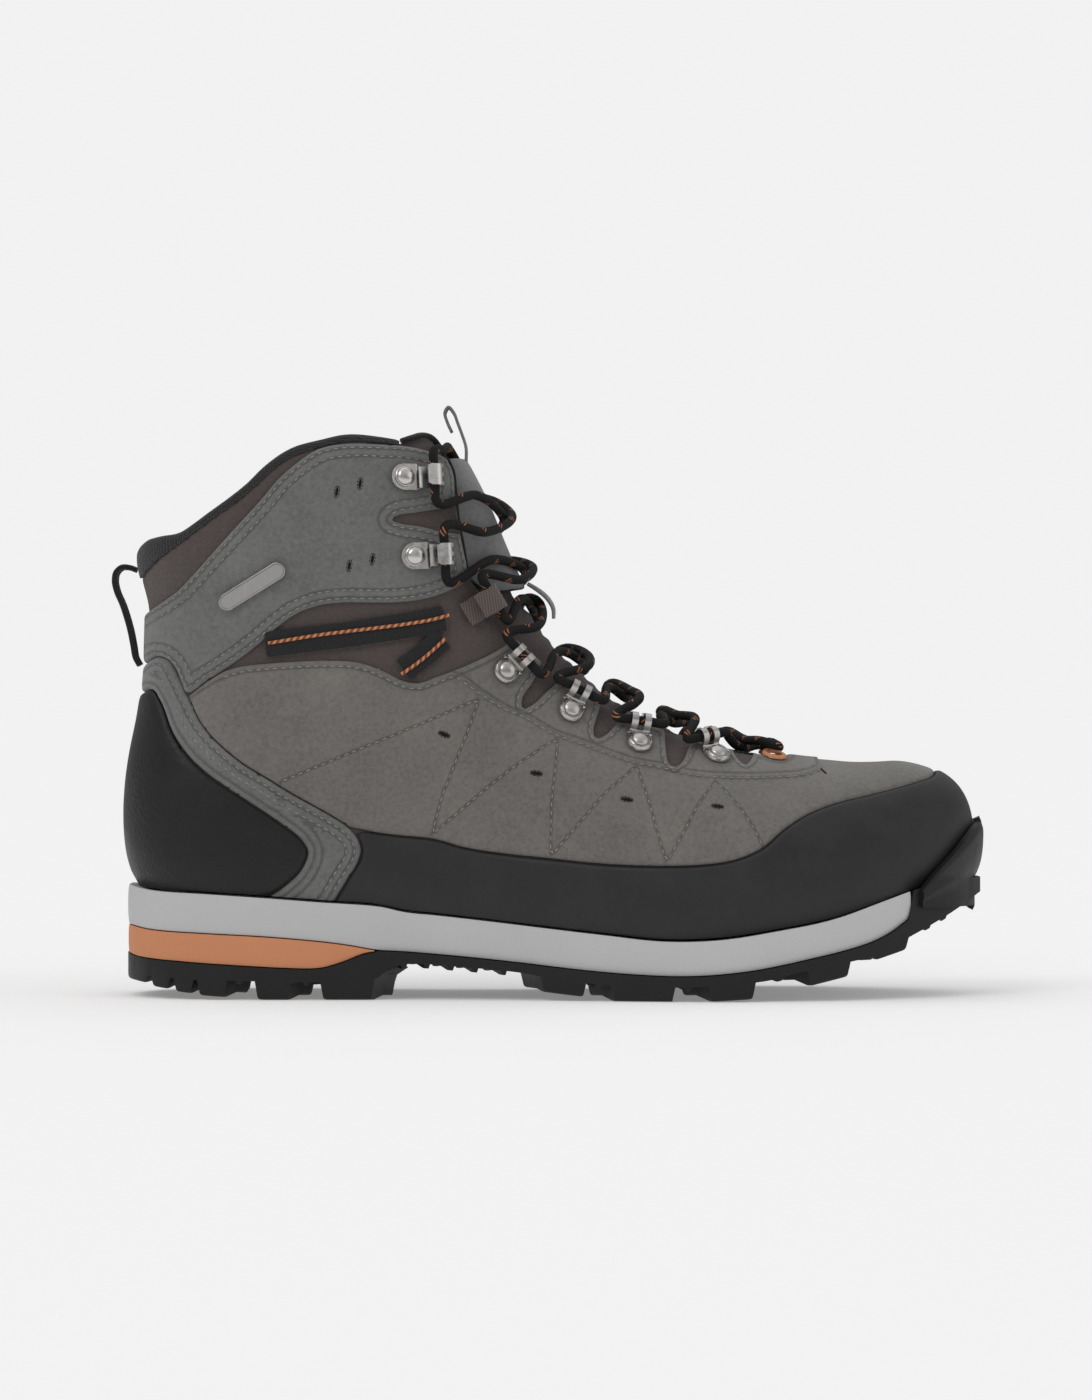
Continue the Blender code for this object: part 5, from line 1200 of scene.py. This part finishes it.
def ringPlate():
    # an oval rim round the rivet, then two ears that arch over the lace and end on its far side
    line = [(-5.9, 0.6), (-2, 0.6), (2.6, 0.62), (3.55, 1.5), (3.7, 3.3), (4.5, 5.1), (6.2, 5.9), (7.9, 5.1),
            (8.7, 3.3), (8.3, 1.7)]
    step = 0.24
    path = evenly(through(line, 8), step)
    last = len(path) - 1

    def shape(s, t, height):
        k = min(int(round(s)), last)
        s = k * step
        half = math.sqrt(max(4.7**2 - max(4.7 - s, 0) ** 2, 0.02)) - 1.2 * float(ramp(s, 6.5, 10.5))
        edge = half - abs(t * half) if s > 4.7 else 4.7 - math.hypot(4.7 - s, t * half)
        rim = 1.1 * math.exp(-(((edge - 0.7) / 0.55) ** 2)) * (1 - float(ramp(s, 8.4, 9.4)))
        rim = max(rim, 0.8 * math.exp(-(((s - 8.1) / 0.6) ** 2))) if height > 0 else 0
        along = directionAt(path, k)
        spot = path[k] + Vector((-along.y, along.x)) * (height - hardware["wall"] / 2 + rim)
        return Vector((spot.x, t * half, spot.y))
    return bentStrip(last, shape, hardware["wall"], (last, 30), lambda s, t: s * step > 9.5 and abs(t) < 0.36)


def hookPlate():
    # a plate that curls up and back over the lace, with two windows in its bend
    back, front = 4.8, 10.2

    def halfAt(s):
        if s < 4.7:
            return math.sqrt(max(4.7**2 - (4.7 - s) ** 2, 0.02))
        return 4.7 - 0.9 * float(ramp(s, 9.6, 10.6)) - 0.6 * float(ramp(s, 24.6, 26.1))

    def rimAt(s, y):
        return -0.5 * math.exp(-(((s - 10.2) / 0.5) ** 2))

    shape, bend = curledShape(back, front, halfAt, 178, rimAt)
    windows = (back + front + 2.4, back + front + 6.2)
    return bentStrip(bend + 3.4, shape, hardware["wall"], (90, 32),
                     lambda s, t: windows[0] < s < windows[1] and 0.2 < abs(t) < 0.6)


def turned(profile, segments=36):
    # a closed round piece from the side view of one half, axis first and last
    bm = bmesh.new()
    verts = [bm.verts.new((r, 0, z)) for r, z in profile]
    edges = [bm.edges.new(pair) for pair in zip(verts, verts[1:])]
    bmesh.ops.spin(bm, geom=verts + edges, axis=(0, 0, 1), cent=(0, 0, 0), angle=math.tau, steps=segments,
                   use_merge=True)
    bmesh.ops.remove_doubles(bm, verts=bm.verts, dist=0.002)
    bmesh.ops.dissolve_degenerate(bm, edges=bm.edges, dist=0.002)
    bmesh.ops.recalc_face_normals(bm, faces=bm.faces)
    return bm


def domeRivet():
    # a flat flange, a narrow groove and a polished dome
    dome = [(3.15 * math.cos(a), 0.55 + 1.45 * math.sin(a)) for a in (math.pi / 2 * k / 9 for k in range(10))]
    return turned([(0, 0), (3.5, 0), (3.55, 0.25), (3.35, 0.4), (3.2, 0.3)] + dome[:-1] + [(0, 2.0)])


def eyeletRing():
    # a rolled ring round an open bore
    rim = [(3.4 + 1.1 * math.cos(a), 0.15 + 0.95 * math.sin(a)) for a in (math.pi * k / 9 for k in range(10))]
    return turned([(2.3, 0)] + [(4.5, 0)] + rim[1:-1] + [(2.3, 0.15), (2.3, 0)])


def placedPiece(bm, matrix, name, look, node, smooth=38):
    bmesh.ops.transform(bm, matrix=matrix, verts=bm.verts)
    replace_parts(finished(bm, name, looks[look], smooth), node)


tabLoop = {"centre": 3.6, "height": 3.8, "half": 4.6}


def fabricLoop():
    # a folded tape: its side view runs out along the boot, round the lace and back to its stitches
    inside, wall = hardware["inside"] - 0.1, 0.75
    centre, high = tabLoop["centre"], tabLoop["height"]
    line = [(-7.5, 0.55), (-3.6, 0.62), (0, 0.85), (centre - 1.4, 1.0)]
    line += [(centre + (inside + wall / 2) * math.sin(a), high - (inside + wall / 2) * math.cos(a))
             for a in (math.pi * k / 8 for k in range(1, 8))]
    line += [(centre - 0.6, high + inside + 0.2), (1.0, high + 1.9), (-1.0, high + 1.0), (-2.9, high + 0.1)]
    path = evenly(through(line, 6), 0.35)

    def shape(s, t, height):
        k = min(int(round(s)), len(path) - 1)
        along = directionAt(path, k)
        spot = path[k] + Vector((-along.y, along.x)) * (height - wall / 2)
        wave = 0.12 * math.sin(k * 0.35 + t * 2.0)
        return Vector((spot.x, t * (tabLoop["half"] - 0.15 + wave), spot.y))
    return bentStrip(len(path) - 1, shape, wall, (len(path) - 1, 12))


def makeHardware():
    rows = {}
    for named, side in sides.items():
        seat = seatAt(side, *eyelet, 90, hardware["lift"])
        placedPiece(eyeletRing(), seat, "eyelet" + named.title(), "orangeEnamel", "eyelet_" + named)
        rows[side] = [("eyelet", seat)]
        for k, ((x, z), angle) in enumerate(rings, 1):
            seat = seatAt(side, x, z, angle, hardware["lift"])
            placedPiece(ringPlate(), seat, f"laceRing{named.title()}{k}", "gunmetal", f"lace_ring_{named}_{k}")
            dome = seat @ Matrix.Translation((-1.2, 0, 1.3))
            placedPiece(domeRivet(), dome, f"ringRivet{named.title()}{k}", "gunmetal",
                        f"ring_rivet_{named}_{k}")
            rows[side].append(("ring", seat @ Matrix.Translation((6.2, 0, hardware["curlHeight"]))))
        seat = seatAt(side, *laceTab, 30, 1.2)
        placedPiece(fabricLoop(), seat, "laceTab" + named.title(), "tape", "lace_tab_" + named)
        rows[side].append(("tab", seat @ Matrix.Translation((tabLoop["centre"], 0, tabLoop["height"]))))
        for k, ((x, z), angle) in enumerate(hooks, 1):
            seat = seatAt(side, x, z, angle, hardware["lift"])
            placedPiece(softened(hookPlate(), 0.12, 55), seat, f"hook{named.title()}{k}", "nickel",
                        f"hook_{named}_{k}")
            dome = seat @ Matrix.Translation((0, 0, 1.3))
            placedPiece(domeRivet(), dome, f"hookRivet{named.title()}{k}", "nickel", f"hook_rivet_{named}_{k}")
            rows[side].append(("hook", seat @ Matrix.Translation((10.2, 0, hardware["curlHeight"]))))
    return rows


# where the lace's two runs cross in front of the tongue, from toe to top, with the lower run's height
crossings = [((70, 87.6), 0.4), ((45, 96.7), 0.4), ((27.5, 105.8), 0.4), ((11, 119.4), 0.4),
             ((-4.6, 139), -1.3), ((-10.5, 150.5), 2.4), ((-18.4, 169), 2.8)]
cord = {"over": 3.2, "radius": 1.65, "step": 0.8, "aglet": 15.0, "aglet radius": 1.4, "stands out": 4.2,
        "lifts": 2.4}


def frontNormal(x, z):
    near = min(range(1, len(topLine) - 1), key=lambda i: math.hypot(topLine[i][0] - x, topLine[i][1] - z))
    along = (Vector(topLine[near + 1][:2]) - Vector(topLine[near - 1][:2])).normalized()
    return Vector((along.y, 0, -along.x))


def middleAt(x):
    return float(curveAt(middleLine, x))


def laceRoute(rows):
    # from one tucked end, down one side to the eyelets, and up the other side
    def front(k, over):
        (x, z), low = crossings[k]
        return Vector((x, middleAt(x), z)) + frontNormal(x, z) * (low + (cord["over"] if over else 0))

    def halfway(seat, middle, side):
        away = Vector((0, side, 0)) * cord["stands out"] + frontNormal(middle.x, middle.z) * cord["lifts"]
        return seat.translation.lerp(middle, 0.5) + away

    def passing(seat):
        straight = [seat @ Vector((0, y, 0)) for y in (-8.4, -3.8, 3.8, 8.4)]
        return sorted(straight, key=lambda p: p.z - 0.3 * p.x)

    paths = []
    for start in (outer, inner):
        points, side = [], start
        for k in range(len(crossings)):
            kind, seat = rows[side][k]
            middle = front(k, over=(start == outer) == (k % 2 == 0))
            points += passing(seat) if kind != "eyelet" else [seat @ Vector((x, 0, 3.9)) for x in (1.5, -1.5)]
            points += [halfway(seat, middle, side), middle]
            side = -side
            points.append(halfway(rows[side][k + 1][1], middle, side))
        tucked = [(-34.9, 9.8, 194.2), (-32.8, 6, 190.6), (-29.7, 3.4, 184.2), (-26.5, 3.1, 177.4)]
        points += passing(rows[side][-1][1]) + [place(side, -39.4, 192.4, 4.2)[0]]
        points += [Vector((x, side * y, z)) for x, y, z in tucked]
        paths.append(points)
    bar = Vector((83, middleAt(83), 88.4))
    return list(reversed(paths[0])) + [bar] + paths[1]


def roundCord(path, radius, name, look, around=14):
    # a closed tube along a path, whose UV map runs along it in metres and once round it
    points = np.array([p[:] for p in path])
    runs = np.linalg.norm(np.diff(points, axis=0), axis=1)
    total = runs.sum()
    frames, across = [], Vector((0, 0, 1))
    for i in range(len(path)):
        along = directionAt(path, i)
        across = (across - along * across.dot(along)).normalized()
        frames.append((across.copy(), along.cross(across)))
    bm = bmesh.new()
    marks = bm.loops.layers.uv.new("UVMap")
    bmesh.ops.create_grid(bm, x_segments=len(path) - 1, y_segments=around, size=1, calc_uvs=True)
    for face in bm.faces:
        for loop in face.loops:
            loop[marks].uv = ((loop.vert.co.x + 1) / 2 * total * mm, (loop.vert.co.y + 1) / 2)
    for v in bm.verts:
        k, turn = round((v.co.x + 1) / 2 * (len(path) - 1)), (v.co.y + 1) * math.pi
        a, b = frames[k]
        v.co = path[k] + (a * math.cos(turn) + b * math.sin(turn)) * radius
    bmesh.ops.remove_doubles(bm, verts=bm.verts, dist=0.01)
    bmesh.ops.holes_fill(bm, edges=[e for e in bm.edges if e.is_boundary], sides=0)
    bmesh.ops.recalc_face_normals(bm, faces=bm.faces)
    return finished(bm, name, looks[look], 60), total


def makeLace(rows):
    route = laceRoute(rows)
    path = evenly(through(route, 8), cord["step"])
    lace, length = roundCord(path, cord["radius"], "braidedLace", "laceCord")
    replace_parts(lace, "lace")
    print("lace length in mm:", round(length + 2 * cord["aglet"]))
    for named, end, before in (("inner", route[0], route[1]), ("outer", route[-1], route[-2])):
        along = (end - before).normalized()
        start = end + along * 0.4
        line = evenly([start, start + along * cord["aglet"]], 1.0)
        tip = roundCord(line, cord["aglet radius"], "aglet" + named.title(), "aglet")[0]
        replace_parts(tip, "aglet_" + named)


makeLace(makeHardware())
print("lace and hardware made")


# straps, badge, loops and the tongue's front
upperStrap = [(-99, 124.9), (-85, 126.5), (-72, 128), (-60, 129.8), (-48, 131.7), (-37, 134)]
lowerStrap = [(-51, 115.6), (-47, 118.6), (-42.5, 122.2), (-37.5, 126.8)]
upperCord = [(-98, 125.4), (-80, 128.2), (-60, 130.6), (-50, 131.9), (-40, 133.7), (-35.5, 135)]
lowerCord = [(-51.6, 114.2), (-45, 118.9), (-40, 123.3), (-36.6, 126.6)]
straps = {"top": 2.3, "upperHalf": 4.5, "lowerHalf": 4.2, "cord": 0.62}


def sideStrip(side, line, half, low, top, rows=10):
    # a tape that lies on the upper along a line in the side view
    path = evenly(through(line, 6), 0.7)

    def shape(s, t, height):
        k = min(int(round(s)), len(path) - 1)
        along = directionAt(path, k)
        spot = path[k] + Vector((-along.y, along.x)) * t * half
        edge = 1 - 0.3 * abs(t) ** 8
        return place(side, spot.x, spot.y, low if height == 0 else low + (top - low) * edge)[0]
    return bentStrip(len(path) - 1, shape, 1, (len(path) - 1, rows))


def makeStraps():
    for named, side in sides.items():
        parts = (("upper", upperStrap, "upperHalf", upperCord), ("lower", lowerStrap, "lowerHalf", lowerCord))
        for level, line, half, cordLine in parts:
            strip = sideStrip(side, line, straps[half], 0.1 if level == "upper" else 0.2, straps["top"])
            piece = finished(strip, f"{level}Strap{named.title()}", looks["webbing"])
            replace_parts(piece, f"{level}_strap_{named}")
            route = [place(side, p.x, p.y, straps["top"] + 0.35)[0]
                     for p in evenly(through(cordLine, 4), 1.5)]
            roundCord(evenly(route, 0.5), straps["cord"], f"{level}Cord{named.title()}", "twist", 10)


badge = {"half length": 13.4, "half width": 3.1, "thick": 1.1, "rim": 0.5, "sunk": 0.3,
         "place": (-103.7, 145.5), "angle": 32, "lift": 2.4}


def makeBadge():
    # a blank metal capsule with a raised rim
    long, wide, thick = badge["half length"], badge["half width"], badge["thick"]
    bm = bmesh.new()
    bmesh.ops.create_circle(bm, cap_ends=True, radius=wide, segments=56)
    for v in bm.verts:
        v.co.x += math.copysign(long - wide, v.co.x) if abs(v.co.x) > 1e-4 else 0
    bmesh.ops.translate(bm, vec=(0, 0, thick), verts=liftedCopy(bm))
    lid = [f for f in bm.faces if all(abs(v.co.z - thick) < 1e-4 for v in f.verts)]
    bmesh.ops.inset_region(bm, faces=lid, thickness=badge["rim"])
    bmesh.ops.inset_region(bm, faces=lid, thickness=0.25, depth=-badge["sunk"])
    bmesh.ops.recalc_face_normals(bm, faces=bm.faces)
    seat = seatAt(outer, *badge["place"], badge["angle"], badge["lift"])
    placedPiece(softened(bm, 0.15, 60), seat, "badgePlate", "badge", "badge_plate", 50)


heelLoopLine = [(-147.4, 151.9), (-149.6, 152.7), (-152.6, 152.8), (-154.6, 150.9), (-155.1, 148.2),
                (-154.4, 144.5), (-152.4, 139.8), (-150.8, 135), (-149.4, 129.8), (-148.4, 124.6),
                (-147.6, 120.4), (-146.2, 117.8)]
tongueLoopLine = [(-29.3, 190.4), (-29.4, 196), (-30.8, 200.5), (-32.3, 204.5), (-34, 208.6), (-35.6, 210.2),
                  (-36.9, 208.3), (-36.2, 205.2), (-34.5, 201.4)]
tongueFaceOutline = through([(-28.2, 191.5), (-32, 191.6), (-36.5, 190.5), (-37, 180), (-36, 168), (-33, 157),
                             (-27, 149.5), (-18, 145), (-9, 145.6)], 4)
tongueFaceOutline += [Vector(p) for p in ((20, 146), (20, 191.5))]
keeperLine = [(-7.2, 147.2), (-3.6, 144.8), (-0.2, 141.8), (1.9, 138.2), (2.2, 134.6)]


def acrossTape(line, half, thick, crown=0.0, taper=0.0, rows=16, swell=0.0):
    # a tape across the boot, from its line in the side view; a crown lets its edges fall back round the shaft
    path = evenly(through(line, 6), 0.6)
    last = len(path) - 1

    def shape(s, t, height):
        k = min(int(round(s)), last)
        along = directionAt(path, k)
        out = Vector((-along.y, along.x))
        y = t * half * (1 - taper * abs(2 * k / last - 1) ** 4)
        inward = out * (-1 if along.y > 0 else 1)
        edge = 1 - 0.35 * abs(t) ** 8
        soft = swell * (1 - t * t) * math.sin(math.pi * k / last)
        back = inward * -crown * (1 - math.sqrt(1 - (y / 38) ** 2)) if crown else Vector((0, 0))
        spot = path[k] + back + out * (height - thick / 2) * edge + (inward * soft if crown else Vector((0, 0)))
        return Vector((spot.x, y, spot.y))
    return bentStrip(last, shape, thick, (last, rows))


def makeLoops():
    heel = finished(acrossTape(heelLoopLine, 6.3, 2.0, taper=0.2), "heelPullLoop", looks["pullTape"], 40, None)
    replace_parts(heel, "heel_pull_loop")
    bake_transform(heel, "boot", "heel_pull_loop", start=(-0.1478, 0, 0.136), end=(-0.1525, 0, 0.136))
    top = finished(acrossTape(tongueLoopLine, 6.5, 1.1), "tonguePullLoop", looks["tongueFace"], 40,
                   "tongue_pull_loop")
    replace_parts(top, "tongue_pull_loop")
    keeper = finished(acrossTape(keeperLine, 7.2, 1.0, 25, rows=20, swell=0.4), "tongueLaceKeeper",
                      looks["tongueFace"])
    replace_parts(keeper, "tongue_lace_keeper")


def tongueFaceDepth(x, z):
    return depthIn(x, z, tongueFaceOutline)


def makeTongueFace():
    # the grey panel wraps the tongue's front and goes under the cuff at both sides
    bm = roughCut(surface, tongueFaceDepth)
    layer = bm.verts.layers.float["edge"]
    behind = addLayer(bm, "behind", lambda x, z: lineDistance(x, z, topLine))
    for level in edgeSteps:
        scoreAt(bm, layer, level)
    trimmed(bm, layer)

    def over(v):
        lift = 2.4 * (1 - float(ramp(v[behind], 3, 11)))
        return -2.3 + lift - 0.5 * math.exp(-max(v[layer], 0) / 0.6)

    thicken(bm, lambda v: over(v) - 1.0, over)
    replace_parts(finished(bm, "tongueFace", looks["tongueFace"]), "tongue_face")


def edgeCord(name, line, heightAt, radius, look):
    # a thin binding or piping on both sides, along a line in the side view
    for named, side in sides.items():
        path = evenly(through(line, 4), 0.8)
        route = [place(side, p.x, p.y, heightAt(p))[0] for p in path]
        roundCord(evenly(route, 0.8), radius, name + named.title(), look, 8)


makeStraps()
makeBadge()
makeLoops()
makeTongueFace()
edgeCord("cuffPiping", [(-36.3, 190.6)] + cuffFront[1:6], lambda p: 1.2, 0.45, "binding")
edgeCord("tongueBinding", [(-49, 198.9)] + tongueTop[2:] + [(-33.4, 197.4), (-32, 193.4)],
         lambda p: -5.6, 1.0, "binding")
print("straps, badge and loops made")


# stitches: short threads that lie on the panels, along lines in the side view
stitch = {"every": 2.9, "long": 1.9, "thick": 0.27}


def insetRow(outline, depth, inset, step=0.8):
    # the stretches of a row that runs a set distance inside a panel's edge
    dense = np.array([p[:2] for p in evenly([Vector(p[:2]) for p in outline], step)])
    along = np.diff(dense, axis=0)
    along /= np.maximum(np.linalg.norm(along, axis=1), 1e-6)[:, None]
    middles = (dense[1:] + dense[:-1]) / 2
    ways = [middles + np.column_stack((-along[:, 1], along[:, 0])) * way * inset for way in (1, -1)]
    fits = [np.abs(depth(spots[:, 0], spots[:, 1]) - inset) < 0.45 for spots in ways]
    runs, run = [], []
    for i in range(len(middles)):
        way = 0 if fits[0][i] else 1
        spot = Vector(ways[way][i])
        if fits[way][i] and (not run or (spot - run[-1]).length < 3 * step):
            run.append(spot)
            continue
        runs.append(run)
        run = [spot] if fits[way][i] else []
    return [r for r in runs + [run] if len(r) > 5]


def sewRow(bm, side, run, height):
    path = evenly(run, stitch["every"])
    for a, b in zip(path, path[1:]):
        part = stitch["long"] / max((b - a).length, 0.1) / 2
        middle = (a + b) / 2
        start, end = (a.lerp(b, 0.5 - part), a.lerp(b, 0.5 + part))
        first, _ = place(side, start.x, start.y, height)
        second, _ = place(side, end.x, end.y, height)
        centre, normal = place(side, middle.x, middle.y, height + 0.02)
        along = (second - first).normalized()
        across = normal.cross(along).normalized()
        turn = Matrix((along, across, normal)).transposed().to_4x4()
        size = Matrix.Diagonal((stitch["long"] / 2, stitch["thick"], stitch["thick"] * 0.8, 1))
        bmesh.ops.create_uvsphere(bm, u_segments=6, v_segments=4, radius=1,
                                  matrix=Matrix.Translation(centre) @ turn @ size)


def zigzagOff(x, z):
    return lineDistance(x, z, zigzag)


def makeStitches():
    rows = {"cuff": [(run, 1.93) for inset in (1.7, 4.6) for run in insetRow(cuffOutline, cuffDepth, inset)],
            "stay": [(run, 1.98) for inset in (2.3, 5.0)
                     for run in insetRow(through(stayTop + stayEdge, 4), stayDepth, inset)],
            "lower": [(run, 1.8) for run in insetRow(through(lowerTop, 4), lowerDepth, 2.2)]}
    rows["cuff"] += [(run, 1.93) for inset in (1.7, 4.4) for run in insetRow(cuffNotch, cuffDepth, inset)]
    for window in windows:
        rows["lower"] += [(run, 2.55) for run in insetRow(window, lowerDepth, 2.2)]
    rows["lower"] += [(run, 1.8) for run in insetRow(zigzag, zigzagOff, 0.0)]
    rows["lower"].append((through(eyestayLine, 4), 2.4))
    for panel, runs in rows.items():
        for named, side in sides.items():
            bm = bmesh.new()
            for run, height in runs:
                shown = [p for p in run if -143 < p.x < 143 and p.y > float(featherAt(p.x)) + 3
                         and float(widthAt(side, p.x, p.y)) > 7]
                if len(shown) > 3:
                    sewRow(bm, side, shown, height)
            finished(bm, f"{panel}Stitches{named.title()}", looks["thread"], 80)


def makeSlots():
    # sewn slots: a near-black piece of painted shade in the opening, with a thin thread rim
    threads, across, up = 10, 2.05, 0.9
    for named, side in sides.items():
        dark, rim = bmesh.new(), bmesh.new()
        for (x, z), angle in slots + cuffSlots:
            seat = seatAt(side, x, z, angle, 1.8)
            # painted shade: a flat near-black capsule over each opening
            bmesh.ops.create_uvsphere(dark, u_segments=20, v_segments=8, radius=1,
                                      matrix=seat @ Matrix.Diagonal((1.75, 0.62, 0.22, 1)))
            for k in range(threads):
                turn = math.tau * k / threads
                spot = seat @ Vector((across * math.cos(turn), up * math.sin(turn), 0.08))
                size = Matrix.Diagonal((0.5, 0.2, 0.18, 1))
                way = Matrix.Rotation(math.atan2(up * math.cos(turn), -across * math.sin(turn)), 4, "Z")
                bmesh.ops.create_uvsphere(rim, u_segments=6, v_segments=4, radius=1,
                                          matrix=Matrix.Translation(spot) @ seat.to_3x3().to_4x4() @ way @ size)
        finished(dark, "slots" + named.title(), looks["holeShade"], 60)
        finished(rim, "slotRims" + named.title(), looks["darkThread"], 80)


makeStitches()
makeSlots()
# painted shade: a near-black cord along the toe seam
edgeCord("toeSeam", [(86, 84.6), (92, 82), (97, 79), (98.4, 77.6)], lambda p: 1.9, 0.3, "holeShade")
print("stitches made")


# the pieces that keep their own shape
inside = {"footbed": "footbedFelt", "insole_board": "fiberBoard", "shank": "gunmetal", "toe_puff": "fiberBoard",
          "heel_stiffener": "fiberBoard"}
for node, look in inside.items():
    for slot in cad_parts[node].material_slots:
        slot.material = looks[look]


# the floor, light and camera


def buildStage():
    floor = bmesh.new()
    bmesh.ops.create_grid(floor, x_segments=1, y_segments=1, size=30)
    data = bpy.data.meshes.new("floor")
    floor.to_mesh(data)
    floor.free()
    ground = bpy.data.objects.new("floor", data)
    bpy.context.scene.collection.objects.link(ground)
    pale = bpy.data.materials.new("paleFloor")
    pale.use_nodes = True
    shader = pale.node_tree.nodes["Principled BSDF"]
    finish = {"Base Color": (0.86, 0.86, 0.86, 1), "Roughness": 0.9, "Specular IOR Level": 0.1,
              "Emission Color": (1, 1, 1, 1), "Emission Strength": 0.225}
    for name, value in finish.items():
        shader.inputs[name].default_value = value
    data.materials.append(pale)


def addSun(name, direction, strength, spread):
    light = bpy.data.lights.new(name, "SUN")
    light.energy = strength
    light.angle = math.radians(spread)
    lamp = bpy.data.objects.new(name, light)
    lamp.rotation_euler = Vector(direction).to_track_quat("-Z", "Y").to_euler()
    bpy.context.scene.collection.objects.link(lamp)


studio = {"backdrop": 0.885, "low": 0.17, "high": 0.66}
# each light's direction, strength and spread in degrees
lights = {"keyLight": ((0.55, 0.75, -0.75), 0.62, 30), "sideLight": ((-0.9, 0.35, -0.35), 0.25, 40),
          "topLight": ((0.1, -0.25, -1), 0.3, 60)}
view = {"lens": 135, "sensor": 36, "place": (-0.0007, -1.8825, 0.10535)}


def buildLight():
    # a soft dome, brighter overhead, and three wide lights that reach the floor evenly
    world = bpy.data.worlds.new("studio")
    world.use_nodes = True
    tree = world.node_tree
    back = tree.nodes["Background"]
    direction = nodeIn(tree, "ShaderNodeSeparateXYZ")
    tree.links.new(nodeIn(tree, "ShaderNodeTexCoord").outputs["Generated"], direction.inputs[0])
    dome = rangeIn(tree, direction.outputs["Z"], -0.1, 0.9, studio["low"], studio["high"])
    mix = nodeIn(tree, "ShaderNodeMix", data_type="FLOAT")
    tree.links.new(nodeIn(tree, "ShaderNodeLightPath").outputs["Is Camera Ray"], mix.inputs["Factor"])
    tree.links.new(dome, mix.inputs["A"])
    mix.inputs["B"].default_value = studio["backdrop"]
    tree.links.new(mix.outputs["Result"], back.inputs["Strength"])
    back.inputs["Color"].default_value = (1, 1, 1, 1)
    bpy.context.scene.world = world
    for name, (way, strength, spread) in lights.items():
        addSun(name, way, strength, spread)


def buildCamera():
    data = bpy.data.cameras.new("camera")
    data.lens, data.sensor_width = view["lens"], view["sensor"]
    camera = bpy.data.objects.new("camera", data)
    camera.location = view["place"]
    camera.rotation_euler = (math.radians(90), 0, 0)
    bpy.context.scene.collection.objects.link(camera)
    bpy.context.scene.camera = camera
    bpy.context.scene.view_settings.view_transform = "Standard"


buildStage()
buildLight()
buildCamera()
